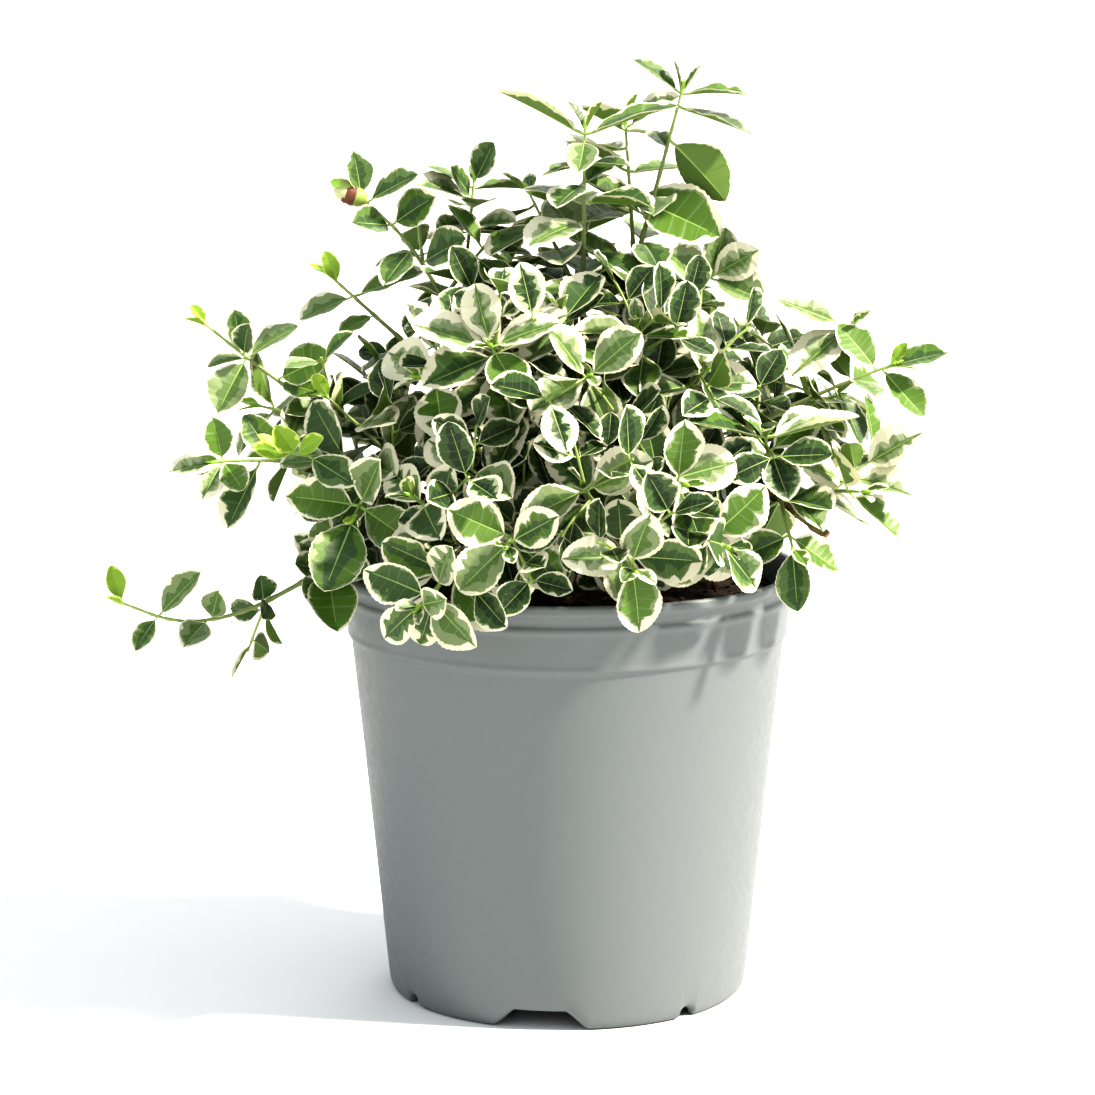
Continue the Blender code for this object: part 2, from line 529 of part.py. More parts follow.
def clear_start(path, radius, limbs):
    """How far along the path a cut end of this radius first stands clear of the limbs."""
    distance = 0.0
    while distance < path.length:
        place, direction = path.at(distance)
        aside, across = squared_to(direction)
        rim = [place + (aside * math.cos(a) + across * math.sin(a)) * radius
               for a in np.linspace(0, 2 * math.pi, 8, endpoint=False)]
        if min(limb.clearance(point) for limb in limbs for point in rim) > GAP:
            return distance
        distance += 0.2 * MM
    raise ValueError("a limb never stands clear")


def tube(name, places, radii, sides, collection, material):
    """A tapering tube with closed ends, along places, as a mesh."""
    curve = bpy.data.curves.new(name, "CURVE")
    curve.dimensions = "3D"
    curve.use_fill_caps = True
    if sides == 3:
        section = bpy.data.curves.new(name + "_section", "CURVE")
        ring = section.splines.new("POLY")
        ring.points.add(2)
        for i, point in enumerate(ring.points):
            angle = 2 * math.pi * i / 3
            point.co = (math.cos(angle), math.sin(angle), 0, 1)
        ring.use_cyclic_u = True
        outline = make_object(name + "_section", section, collection)
        curve.bevel_mode = "OBJECT"
        curve.bevel_object = outline
    else:
        outline = None
        curve.bevel_depth = 1.0
        curve.bevel_resolution = sides // 2 - 2
    spline = curve.splines.new("POLY")
    spline.points.add(len(places) - 1)
    for point, place, radius in zip(spline.points, places, radii):
        point.co = (*place, 1)
        point.radius = radius
    drawn = make_object(name + "_line", curve, collection)
    made = make_object(name, baked_mesh(drawn), collection, material)
    bpy.data.objects.remove(drawn)
    if outline:
        bpy.data.objects.remove(outline)
    return made


def make_trunk(collection, material):
    """The short trunk with its root flare, from a flat cut at the compost to its fork."""
    foot = Vector((0, 0, COMPOST_MIDDLE + GAP))
    path = Path([foot + TRUNK_LEAN * t**2 + UP * TRUNK_HEIGHT * t
                 for t in np.linspace(0, 1, PATH_STEPS + 1)])
    heights = (0, 1.5 * MM, 4 * MM, 9 * MM, 0.6 * TRUNK_HEIGHT, path.length)
    radii = (TRUNK_FLARE, 0.84 * TRUNK_FLARE, 0.72 * TRUNK_FLARE, TRUNK_RADIUS,
             0.92 * TRUNK_RADIUS, TRUNK_TOP_RADIUS)
    tube("trunk", [path.at(h)[0] for h in heights], radii, 12, collection, material)
    return Limb(path, TRUNK_RADIUS, TRUNK_TOP_RADIUS)


def grow_limbs(trunk):
    """Works out every bough and the main stem that carries on from it."""
    limbs, stems = {"trunk": trunk}, {}
    for shoot in SHOOTS:
        parent = limbs[shoot.parent]
        start, onward = parent.path.at(parent.path.length * shoot.fork)
        end = Vector(shoot.tips[0])
        if shoot.fork == 1:
            path = bowed_path(start + onward * GAP, end, shoot.bow, onward=onward)
            foot, low = LEADER_FOOT, 0.0
        elif shoot.parent == "trunk":
            path = bowed_path(start, end, shoot.bow, spread=FORK_SPREAD)
            foot = BOUGH_FOOT
            low = clear_start(path, foot, limbs.values())
        else:
            path = bowed_path(start, end, shoot.bow)
            foot = BRANCH_FOOT
            low = clear_start(path, foot, limbs.values())
        tip = BOUGH_TIP if shoot.bare < 1 else STUB_TIP
        high = max(low + 4 * MM, path.length * shoot.bare)
        wood = Path(path.part(low, high, BOUGH_STEPS))
        limbs[shoot.name] = Limb(wood, foot, tip)
        if shoot.bare < 1:
            stems[shoot.name] = path, high + GAP, path.length
    return limbs, stems


def make_boughs(limbs, collection, material):
    for shoot in SHOOTS:
        limb = limbs[shoot.name]
        radii = [limb.radius(distance) for distance in limb.path.reach]
        tube("bough_" + shoot.name, limb.path.points, radii, 6, collection, material)


# Foliage

def leaf_points():
    """A leaf of length 1 along Y that faces +Z: a shallow pyramid, folded at its midrib."""
    form = bmesh.new()
    bmesh.ops.create_cone(form, cap_ends=True, segments=4, radius1=1, radius2=0, depth=1)
    ends = []
    for vert in form.verts:
        x, y = round(vert.co.x), round(vert.co.y)
        if vert.co.z > 0:
            vert.co = (0, LEAF_MIDDLE, LEAF_THICKNESS)
        elif x:
            vert.co = (x * LEAF_WIDTH / 2, LEAF_BELLY, LEAF_FOLD)
        else:
            vert.co = (0, (y + 1) / 2, 0)
            ends.append(vert)
    bmesh.ops.connect_verts(form, verts=ends)
    points = [vert.co.copy() for vert in form.verts]
    faces = [[vert.index for vert in face.verts] for face in form.faces]
    form.free()
    return points, faces


LEAF_POINTS, LEAF_FACES = leaf_points()


def leaf_matrix(place, along, face, length):
    """Puts a leaf's stalk end at place, pointing along, with its upper side to face."""
    along = along.normalized()
    face = (face - along * face.dot(along)).normalized()
    side = along.cross(face)
    turn = Matrix((side, along, face)).transposed()
    return Matrix.Translation(place) @ turn.to_4x4() @ Matrix.Scale(length, 4)


def leaf_room(matrix, start=0.0, swell=0.0):
    """The room a leaf needs from its share start outwards, swollen by shares of its
    length, as points: its two ends, its two sides, and the middle above and below."""
    ring = [(0, 0)] + list(LEAF_ROOM) + [(0, 1)]
    ring += [(-half, along) for half, along in reversed(LEAF_ROOM)]
    points = []
    for half, along in ring:
        across = half * (LEAF_WIDTH + 2 * swell)
        lift = 2 * abs(half) * LEAF_FOLD
        points.append((across, start + (1 - start) * along * (1 + swell), lift))
    middle = start + (1 - start) * LEAF_MIDDLE
    points += [(0, middle, LEAF_THICKNESS + swell), (0, middle, -swell)]
    return [matrix @ Vector(point) for point in points]


def room_tree(points):
    """A search tree of a leaf's room: a fan above its rim and one below."""
    rim = len(points) - 2
    faces = [(i, (i + 1) % rim, rim) for i in range(rim)]
    faces += [((i + 1) % rim, i, rim + 1) for i in range(rim)]
    return BVHTree.FromPolygons(points, faces)


def clears_pot(points):
    """True if every point is above the rim or outside it, and above the floor."""
    reach = RIM_RADIUS + POT_CLEARANCE
    return all(point.z > POT_HEIGHT + POT_CLEARANCE
               or point.z > 0 and math.hypot(point.x, point.y) > reach
               for point in points)


def rod_tree(one, two, radius):
    """A straight three-sided rod as a search tree."""
    direction = (two - one).normalized()
    aside, across = squared_to(direction)
    ring = [(aside * math.cos(a) + across * math.sin(a)) * radius
            for a in (0, 2 * math.pi / 3, 4 * math.pi / 3)]
    points = [one + r for r in ring] + [two + r for r in ring]
    faces = [(0, 1, 2), (3, 5, 4), (0, 1, 4, 3), (1, 2, 5, 4), (2, 0, 3, 5)]
    return BVHTree.FromPolygons(points, faces)


class Neighbours:
    """Everything placed so far, for finding what a new twig or leaf would touch."""

    def __init__(self):
        self.centres, self.radii, self.trees, self.owners = [], [], [], []

    def add(self, centre, radius, tree, owner):
        self.centres.append(tuple(centre))
        self.radii.append(radius)
        self.trees.append(tree)
        self.owners.append(owner)

    def add_rods(self, places, radii, owner):
        """Adds the rods along places. The guard makes them a little thicker."""
        for one, two, radius in zip(places, places[1:], radii):
            self.add((one + two) / 2, (two - one).length / 2 + radius,
                     rod_tree(one, two, radius * 1.3 + GUARD / 2), owner)

    def touched(self, centre, radius, tree, wanted):
        """True if tree meets anything near it whose owner passes wanted."""
        away = np.linalg.norm(np.array(self.centres) - np.array(centre), axis=1)
        for i in np.nonzero(away < np.array(self.radii) + radius)[0]:
            if wanted(self.owners[i]) and tree.overlap(self.trees[i]):
                return True
        return False


class Mass:
    """One mass of foliage: the rods and the leaves that will be fused."""

    def __init__(self, name):
        self.name, self.rods, self.leaves = name, [], []


def node_distances(low, high):
    """Where the pairs of leaves sit along a shoot, closer together towards its tip."""
    found, distance = [], low + FIRST_NODE
    while distance < high:
        found.append(distance)
        share = (distance - low) / (high - low)
        distance += INTERNODE * (1 - TIP_CROWDING * share)
    return found


def place_leaf(mass, near, place, along, face, length, rng, first=0.12):
    """Adds a leaf if it touches nothing, turned and made smaller a little at each try."""
    for attempt in range(LEAF_TRIES):
        wobble = first + 0.16 * attempt
        aim = along + Vector([rng.uniform(-wobble, wobble) for _ in range(3)])
        size = length * (1 - 0.07 * attempt)
        matrix = leaf_matrix(place, aim, face, size)
        centre, reach = matrix @ Vector((0, LEAF_MIDDLE, 0)), 0.6 * size
        whole = leaf_room(matrix, 0.0, GUARD / size)
        if not clears_pot(whole):
            continue
        if near.touched(centre, reach, room_tree(whole), lambda owner: owner != mass.name):
            continue
        blade = room_tree(leaf_room(matrix, STALK_SHARE, GUARD / size))
        if near.touched(centre, reach, blade, lambda owner: owner == mass.name):
            continue
        mass.leaves.append((matrix, size))
        near.add(centre, reach, room_tree(leaf_room(matrix)), mass.name)
        return


def clothe(mass, near, shoot, leaf, path, low, high, turn, rng, budded):
    """Pairs of leaves along a shoot, each pair a quarter turn from the last."""
    for distance in node_distances(low, high):
        place, axis = path.at(distance)
        share = (distance - low) / (high - low)
        aside, across = squared_to(axis)
        lift = math.radians(LIFT_OLD + (LIFT_YOUNG - LIFT_OLD) * share**2 + shoot.lift)
        pull = AXIS_PULL + TIP_PULL * share**2 * (1 - shoot.level)
        size = leaf * rng.uniform(*LEAF_SPREAD) * min(1.0, 1.85 - share)
        for half in (0, math.pi):
            angle = turn + half + rng.uniform(-0.2, 0.2)
            out = aside * math.cos(angle) + across * math.sin(angle)
            along = out * math.cos(lift) + axis * math.sin(lift)
            along -= UP * NOD * max(0, out.dot(LIGHT_SIDE))
            face = (axis * pull + LIGHT_PULL + UP * shoot.level
                    + (place - CROWN_HEART).normalized() * OUTWARD_PULL
                    + Vector([rng.uniform(-FACE_SPREAD, FACE_SPREAD) for _ in range(3)]))
            place_leaf(mass, near, place, along, face, size, rng)
        turn += math.pi / 2
    if not budded:
        return
    end, axis = path.at(path.length)
    aside, across = squared_to(axis)
    for half in (0, math.pi):
        out = aside * math.cos(turn + half) + across * math.sin(turn + half)
        place_leaf(mass, near, end - axis * MM, axis * 1.2 + out * 0.6,
                   UP + axis * 0.3 - out * 0.4, leaf * BUD_LEAF, rng)


def grow_twigs(mass, near, shoot, path, low, rng):
    """Side twigs from the lower joints of a shoot, each with a few pairs of leaves."""
    for distance in node_distances(low, path.length):
        if rng.random() > TWIG_CHANCE or distance > TWIG_REACH * path.length:
            continue
        place, axis = path.at(distance + 1.5 * MM)
        aside, across = squared_to(axis)
        angle = rng.uniform(0, 2 * math.pi)
        out = aside * math.cos(angle) + across * math.sin(angle)
        aim = (out * 0.8 + axis * 0.5 + UP * 0.25).normalized()
        reach = rng.uniform(*TWIG_LENGTH)
        twig = bowed_path(place, place + aim * reach, (0, 0.12 * reach), 2)
        first = 2.6 * MM
        guard = rod_tree(twig.at(first)[0], twig.points[-1], STEM_TIP + GUARD)
        centre = (place + twig.points[-1]) / 2
        if near.touched(centre, reach / 2, guard, lambda owner: True):
            continue
        add_rod(mass, near, twig.points, TWIG_FOOT)
        clothe(mass, near, shoot, shoot.leaf * TWIG_LEAF, twig, 0.0, twig.length, angle,
               rng, False)


def add_placed(masses, near, leaders):
    """The placed leaves, each from the nearest point of its own shoot's stems."""
    for number, leaf in enumerate(PLACED):
        joint, tip = Vector(leaf.joint), Vector(leaf.tip)
        places = [path.at(stop)[0] for shoot, mass, path, low in leaders
                  if shoot.name == leaf.shoot for stop in np.linspace(0, path.length, JOINT_STOPS)]
        start = min(places, key=lambda place: (place - joint).length)
        place_leaf(masses[leaf.shoot], near, start, (tip - start).normalized(),
                   Vector(leaf.face), (tip - joint).length * FORESHORTENED,
                   random.Random(SEED * 4000 + number), first=0.0)


def add_rod(mass, near, places, foot):
    """Adds a stem or twig through places, tapering to the thickness of a shoot's tip."""
    last = len(places) - 1
    radii = [foot + (STEM_TIP - foot) * i / last for i in range(last + 1)]
    mass.rods.append((places, radii))
    near.add_rods(places, radii, mass.name)


def rod_steps(length):
    return max(3, round(length / ROD_STEP))


def plan_foliage(limbs, stems):
    """Works out every stem, twig and leaf. Nothing placed later touches what is there."""
    near = Neighbours()
    for name, limb in limbs.items():
        radii = [limb.radius(distance) for distance in limb.path.reach]
        near.add_rods(limb.path.points, radii, "bough_" + name)
    masses, leaders = {}, []
    for shoot in SHOOTS:
        if shoot.name not in stems:
            continue
        mass = masses[shoot.name] = Mass(shoot.name)
        path, low, high = stems[shoot.name]
        main = Path(path.part(low, high, rod_steps(high - low)))
        add_rod(mass, near, main.points, STEM_FOOT)
        leaders.append((shoot, mass, main, 0.0))
        for order, tip in enumerate(shoot.tips[1:], 1):
            begin = main.at((0.10 + 0.16 * order) * main.length)[0]
            reach = (Vector(tip) - begin).length
            side = bowed_path(begin, Vector(tip), (0.08 * reach, 0), rod_steps(reach))
            add_rod(mass, near, side.points, SIDE_FOOT)
            leaders.append((shoot, mass, side, SIDE_BARE))
    add_placed(masses, near, leaders)
    for i, (shoot, mass, path, low) in enumerate(leaders):
        rng = random.Random(SEED * 1000 + i)
        high = path.length - (shoot.clear if low == 0 else 0)
        clothe(mass, near, shoot, shoot.leaf, path, low, high, rng.uniform(0, math.pi),
               rng, True)
    for i, (shoot, mass, path, low) in enumerate(leaders):
        rng = random.Random(SEED * 2000 + i)
        grow_twigs(mass, near, shoot, path, low, rng)
    return masses


def keep_largest_shell(mesh):
    """Drops loose scraps and sealed hollows, so that one closed body is left."""
    form = bmesh.new()
    form.from_mesh(mesh)
    shells, seen = [], set()
    for first in form.faces:
        if first in seen:
            continue
        shell, todo = [], [first]
        seen.add(first)
        while todo:
            face = todo.pop()
            shell.append(face)
            for edge in face.edges:
                for other in edge.link_faces:
                    if other not in seen:
                        seen.add(other)
                        todo.append(other)
        shells.append(shell)
    keep = set(max(shells, key=lambda shell: sum(f.calc_area() for f in shell)))
    scraps = [face for face in form.faces if face not in keep]
    bmesh.ops.delete(form, geom=scraps, context="FACES")
    form.to_mesh(mesh)
    form.free()


def is_whole(mesh, least):
    """True if the mesh is closed and holds at least this volume."""
    form = bmesh.new()
    form.from_mesh(mesh)
    closed = all(len(edge.link_faces) == 2 for edge in form.edges)
    held = form.calc_volume(signed=True)
    form.free()
    return closed and held > least


def leaf_volume(length):
    """Volume of a leaf's plate, a pyramid on its two triangles."""
    return LEAF_WIDTH * LEAF_THICKNESS / 6 * length**3


def make_mass(mass, collection, workshop, leaf_mesh, material):
    """Fuses a mass's stems, twigs and leaves into one solid."""
    rods = [tube(f"{mass.name}_rod_{i}", places, radii, 3, workshop, None)
            for i, (places, radii) in enumerate(mass.rods)]
    base = rods[0]
    parts = make_collection(mass.name + "_parts", workshop)
    for rod in rods[1:]:
        workshop.objects.unlink(rod)
        parts.objects.link(rod)
    for i, (matrix, size) in enumerate(mass.leaves):
        leaf = make_object(f"{mass.name}_leaf_{i}", leaf_mesh, parts)
        leaf.matrix_world = matrix
    least = 0.6 * sum(leaf_volume(size) for matrix, size in mass.leaves)
    join = base.modifiers.new("Fuse", "BOOLEAN")
    join.operation = "UNION"
    join.operand_type = "COLLECTION"
    join.collection = parts
    for solver in ("EXACT", "MANIFOLD"):
        join.solver = solver
        mesh = baked_mesh(base, 0.0001 * MM)
        keep_largest_shell(mesh)
        if is_whole(mesh, least):
            break
    for thing in list(parts.objects) + [base]:
        bpy.data.objects.remove(thing)
    bpy.data.collections.remove(parts)
    make_object("foliage_" + mass.name, mesh, collection, material)


def smooth(collection, angle):
    for thing in collection.objects:
        thing.data.shade_smooth()
        thing.data.set_sharp_from_angle(angle=math.radians(angle))


def centre_on_origin(collection, cutters):
    """Hangs every piece and cutter on one empty and slides it over the origin."""
    bpy.context.view_layer.update()
    graph = bpy.context.evaluated_depsgraph_get()
    corners = [thing.matrix_world @ Vector(corner) for thing in collection.objects
               for corner in thing.evaluated_get(graph).bound_box]
    low = Vector(map(min, zip(*corners)))
    high = Vector(map(max, zip(*corners)))
    holder = bpy.data.objects.new("plant_origin", None)
    collection.objects.link(holder)
    for thing in list(collection.objects) + list(cutters.objects):
        if thing is not holder:
            thing.parent = holder
    holder.location = (-(low.x + high.x) / 2, -(low.y + high.y) / 2, 0)


def main():
    clear_scene()
    plant = make_collection("wintercreeper_euonymus")
    cutters = make_collection("cutters")
    workshop = make_collection("workshop")
    grey = make_material("pot_plastic", (0.33, 0.36, 0.35), 0.45)
    dark = make_material("compost", (0.022, 0.015, 0.011), 0.95)
    bark = make_material("bark", (0.20, 0.15, 0.09), 0.8)
    green = make_material("leaf", (0.16, 0.27, 0.10), 0.45)

    make_pot(plant, cutters, grey)
    make_compost(plant, dark)
    limbs, stems = grow_limbs(make_trunk(plant, bark))
    make_boughs(limbs, plant, bark)
    masses = plan_foliage(limbs, stems)
    leaf_mesh = bpy.data.meshes.new("leaf")
    leaf_mesh.from_pydata(LEAF_POINTS, [], LEAF_FACES)
    for mass in masses.values():
        make_mass(mass, plant, workshop, leaf_mesh, green)
    bpy.data.collections.remove(workshop)
    print(sum(len(mass.leaves) for mass in masses.values()), "leaves in all")
    smooth(plant, 32)
    centre_on_origin(plant, cutters)


main()
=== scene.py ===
import collections
import json
import math
import random

import bmesh
import bpy
import numpy as np
from mathutils import Matrix, Vector, noise
from mathutils.bvhtree import BVHTree

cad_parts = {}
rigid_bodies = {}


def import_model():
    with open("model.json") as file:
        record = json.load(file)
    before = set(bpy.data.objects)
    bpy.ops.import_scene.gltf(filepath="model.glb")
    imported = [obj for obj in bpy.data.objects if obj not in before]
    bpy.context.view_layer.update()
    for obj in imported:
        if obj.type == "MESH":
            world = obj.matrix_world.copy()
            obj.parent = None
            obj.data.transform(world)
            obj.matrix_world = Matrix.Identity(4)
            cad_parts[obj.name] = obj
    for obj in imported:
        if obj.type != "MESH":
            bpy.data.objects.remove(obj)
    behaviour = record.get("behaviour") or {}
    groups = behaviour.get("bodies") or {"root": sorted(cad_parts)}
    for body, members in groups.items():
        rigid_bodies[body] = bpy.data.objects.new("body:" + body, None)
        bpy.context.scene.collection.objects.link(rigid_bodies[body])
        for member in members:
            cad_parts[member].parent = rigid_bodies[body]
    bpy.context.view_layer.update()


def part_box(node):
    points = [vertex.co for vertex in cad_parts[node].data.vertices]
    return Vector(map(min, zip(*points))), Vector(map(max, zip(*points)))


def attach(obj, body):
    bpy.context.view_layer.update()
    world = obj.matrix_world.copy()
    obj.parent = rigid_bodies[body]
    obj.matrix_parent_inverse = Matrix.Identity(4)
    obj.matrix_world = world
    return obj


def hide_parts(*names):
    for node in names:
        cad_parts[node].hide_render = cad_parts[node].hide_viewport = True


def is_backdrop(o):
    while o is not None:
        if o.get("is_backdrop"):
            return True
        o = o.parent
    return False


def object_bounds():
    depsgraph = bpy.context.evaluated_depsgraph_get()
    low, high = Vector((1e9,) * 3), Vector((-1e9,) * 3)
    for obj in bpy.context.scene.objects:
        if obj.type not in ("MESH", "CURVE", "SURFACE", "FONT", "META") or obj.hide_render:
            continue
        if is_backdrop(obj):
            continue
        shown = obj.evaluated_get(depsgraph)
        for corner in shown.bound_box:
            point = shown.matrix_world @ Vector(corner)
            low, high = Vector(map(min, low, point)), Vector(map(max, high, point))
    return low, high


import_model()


# Pot
# A round nursery pot of thin grey polypropylene, moulded in one shot. Its rolled lip and
# the beads of its band stiffen the wall, and its foot is lifted in wide notches and small
# arched slots, so that water can run out from under it.
MM = 0.001
UP = Vector((0, 0, 1))
POT_HEIGHT = 157 * MM
RIM_RADIUS = 85 * MM
BASE_RADIUS = 65.7 * MM
WALL_SLOPE = 0.1006
WALL = 1.4 * MM
FOOT_WIDTH = 3.4 * MM
FLOOR_UNDER = 7.8 * MM
FLOOR = 1.4 * MM
FOOT_LIFT_TOP = 12 * MM
NOTCHES = (-9, 171)
NOTCH_FOOT = 35 * MM
NOTCH_HEAD = 19 * MM
NOTCH_HEIGHT = 6.6 * MM
SLOTS = (-59, 41, 121, 219)
SLOT_WIDTH = 7.4 * MM
SLOT_HEIGHT = 3.6 * MM
DRAIN_HOLES = 6
DRAIN_START = 21
DRAIN_RING = 46 * MM
DRAIN_RADIUS = 4 * MM

FOOT_INSIDE = BASE_RADIUS - FOOT_WIDTH
HAIR = 0.1 * MM
CLOUD_SPAN = (0.3, 0.7)
GRADE_SPAN = (0.35, 0.65)

pot_low, pot_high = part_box("pot")
POT_AXIS = Vector(((pot_low.x + pot_high.x) / 2, (pot_low.y + pot_high.y) / 2, 0))


def wall_radius(height):
    """Outer radius of the plain wall at a height."""
    return BASE_RADIUS + WALL_SLOPE * height


def rounded(outline, steps=4):
    """An outline of (radius, height, rounding) corners in millimetres, in metres, with
    each corner turned into a small curve."""
    points = []
    for i, (radius, height, rounding) in enumerate(outline):
        corner = Vector((radius, height))
        if not rounding or i in (0, len(outline) - 1):
            points.append(corner * MM)
            continue
        before = Vector(outline[i - 1][:2]) - corner
        after = Vector(outline[i + 1][:2]) - corner
        start = corner + before * min(0.5, rounding / before.length)
        end = corner + after * min(0.5, rounding / after.length)
        for step in range(steps + 1):
            t = step / steps
            points.append((start.lerp(corner, t)).lerp(corner.lerp(end, t), t) * MM)
    return points


def pot_outline():
    """From the floor's edge up the inside, over the lip, down the outside, to the foot."""
    foot = BASE_RADIUS / MM - FOOT_WIDTH / MM

    def wall(height, depth=0.0):
        return wall_radius(height * MM) / MM - depth, height

    inner = rounded((
        (*wall(FLOOR_UNDER / MM, WALL / MM), 0),
        (*wall(60, WALL / MM), 0),
        (*wall(132.5, WALL / MM), 1.5),
        (wall(132.5, WALL / MM)[0] + 1.2, 134.2, 1.5),
        (80.9, 152.6, 1.6),
        (81.9, 156.2, 0.9),
        (82.6, 157, 0.6),
        (84.2, 157, 0.8),
    ))
    outer = rounded((
        (84.2, 157, 0),
        (85, 156.3, 0.7),
        (85, 154.0, 0.8),
        (84.1, 153.1, 0.7),
        (82.1, 151.4, 1.5),
        (81.5, 149.4, 1.2),
        (82.3, 148.2, 0.9),
        (82.3, 146.9, 0.9),
        (81.6, 145.7, 1.4),
        (80.4, 135.2, 1.4),
        (80.6, 133.8, 0.9),
        (80.4, 132.7, 0.9),
        (79.2, 131.5, 1.3),
        (*wall(90), 0),
        (*wall(50), 0),
        (*wall(FOOT_LIFT_TOP / MM), 0),
        (*wall(6), 0),
        (65.7, 1.6, 2.2),
        (64.4, 0, 1.4),
        (foot, 0, 0.5),
        (foot, 3, 0),
        (foot, FLOOR_UNDER / MM, 0),
    ))
    return inner, outer[1:]


def eased(share):
    """A share of the way, setting out and arriving gently."""
    share = min(1.0, max(0.0, share))
    return share * share * (3 - 2 * share)


def along_foot(angle, place):
    """The way round the foot between two angles in degrees."""
    return abs((angle - place + 180) % 360 - 180) * math.pi / 180 * BASE_RADIUS


def foot_lift(angle):
    """How far the foot is lifted off the ground at an angle from the front, in degrees."""
    lift = 0.0
    for place in NOTCHES:
        away = along_foot(angle, place)
        slope = (NOTCH_FOOT / 2 - away) / (NOTCH_FOOT / 2 - NOTCH_HEAD / 2)
        lift = max(lift, NOTCH_HEIGHT * (0.75 * min(1, max(0, slope)) + 0.25 * eased(slope)))
    for place in SLOTS:
        share = min(1.0, along_foot(angle, place) / (SLOT_WIDTH / 2))
        lift = max(lift, SLOT_HEIGHT * math.sqrt(1 - share**2))
    return lift


def turn_angles():
    """Angles round the pot, closer together where its foot is cut. They are worked out in
    tenths of a degree."""
    found = set(range(0, 3600, 15))
    for place, reach in [(n, 180) for n in NOTCHES] + [(s, 36) for s in SLOTS]:
        found |= {(10 * place + a) % 3600 for a in range(-reach, reach + 1, 4)}
    return [a / 10 for a in sorted(found)]


def turned_mesh(name, outline, angles, bend=None):
    """A shell turned about Z. bend may move a point (radius, height) at an angle."""
    form = bmesh.new()
    rings = []
    for angle in angles:
        across, deep = math.sin(math.radians(angle)), -math.cos(math.radians(angle))
        ring = []
        for radius, height in outline:
            if bend:
                radius, height = bend(radius, height, angle)
            ring.append(form.verts.new((radius * across, radius * deep, height)))
        rings.append(ring)
    for ring, onward in zip(rings, rings[1:] + rings[:1]):
        for i in range(len(outline) - 1):
            form.faces.new((ring[i], onward[i], onward[i + 1], ring[i + 1]))
    mesh = bpy.data.meshes.new(name)
    form.to_mesh(mesh)
    form.free()
    return mesh


def floor_plate():
    """The pot's flat floor with its round drain holes, as a mesh."""
    curve = bpy.data.curves.new("pot_floor", "CURVE")
    curve.dimensions = "2D"
    curve.fill_mode = "BOTH"
    curve.extrude = FLOOR / 2
    reach = wall_radius(FLOOR_UNDER) - WALL / 2
    circles = [(0, 0, reach, 120)]
    for i in range(DRAIN_HOLES):
        angle = math.radians(360 * i / DRAIN_HOLES + DRAIN_START)
        circles.append((math.sin(angle) * DRAIN_RING, -math.cos(angle) * DRAIN_RING,
                        DRAIN_RADIUS, 28))
    for x, y, radius, count in circles:
        ring = curve.splines.new("POLY")
        ring.points.add(count - 1)
        for i, point in enumerate(ring.points):
            turn = 2 * math.pi * i / count
            point.co = (x + radius * math.cos(turn), y + radius * math.sin(turn), 0, 1)
        ring.use_cyclic_u = True
    drawn = bpy.data.objects.new("pot_floor", curve)
    bpy.context.scene.collection.objects.link(drawn)
    drawn.location.z = FLOOR_UNDER + FLOOR / 2
    bpy.context.view_layer.update()
    mesh = bpy.data.meshes.new_from_object(drawn)
    mesh.transform(drawn.matrix_world)
    bpy.data.objects.remove(drawn)
    return mesh


def add_piece(name, mesh, materials, sharp=40):
    """Puts a mesh made round the pot's axis in its place, and has it ride on the plant."""
    mesh.transform(Matrix.Translation(POT_AXIS))
    mesh.shade_smooth()
    mesh.set_sharp_from_angle(angle=math.radians(sharp))
    if not mesh.materials:
        for material in materials:
            mesh.materials.append(material)
    piece = bpy.data.objects.new(name, mesh)
    bpy.context.scene.collection.objects.link(piece)
    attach(piece, "root")
    return piece


def make_finish(name, colour, rough, grain, depth, gloss=0.5, grades=None):
    """A surface whose roughness wanders between two values over patches of a size, with
    relief of the same grain. grades is a second colour that clouds the first."""
    finish = bpy.data.materials.new(name)
    finish.use_nodes = True
    tree = finish.node_tree
    shader = tree.nodes["Principled BSDF"]
    shader.inputs["Base Color"].default_value = (*colour, 1)
    shader.inputs["Specular IOR Level"].default_value = gloss
    where = tree.nodes.new("ShaderNodeTexCoord")
    cloud = tree.nodes.new("ShaderNodeTexNoise")
    cloud.inputs["Scale"].default_value = 1 / grain
    cloud.inputs["Detail"].default_value = 3
    tree.links.new(where.outputs["Object"], cloud.inputs["Vector"])
    spread = tree.nodes.new("ShaderNodeMapRange")
    for way, span in (("From", CLOUD_SPAN), ("To", rough)):
        for end, value in zip(("Min", "Max"), span):
            spread.inputs[f"{way} {end}"].default_value = value
    tree.links.new(cloud.outputs["Fac"], spread.inputs["Value"])
    tree.links.new(spread.outputs["Result"], shader.inputs["Roughness"])
    relief = tree.nodes.new("ShaderNodeBump")
    relief.inputs["Distance"].default_value = depth
    relief.inputs["Strength"].default_value = 1
    tree.links.new(cloud.outputs["Fac"], relief.inputs["Height"])
    tree.links.new(relief.outputs["Normal"], shader.inputs["Normal"])
    if grades:
        ramp = tree.nodes.new("ShaderNodeValToRGB")
        for stop, at, shade in zip(ramp.color_ramp.elements, GRADE_SPAN, (colour, grades)):
            stop.position = at
            stop.color = (*shade, 1)
        tree.links.new(cloud.outputs["Fac"], ramp.inputs["Fac"])
        tree.links.new(ramp.outputs["Color"], shader.inputs["Base Color"])
    return finish


pot_inner, pot_outer = pot_outline()
pot_line = [tuple(point) for point in pot_inner + pot_outer]


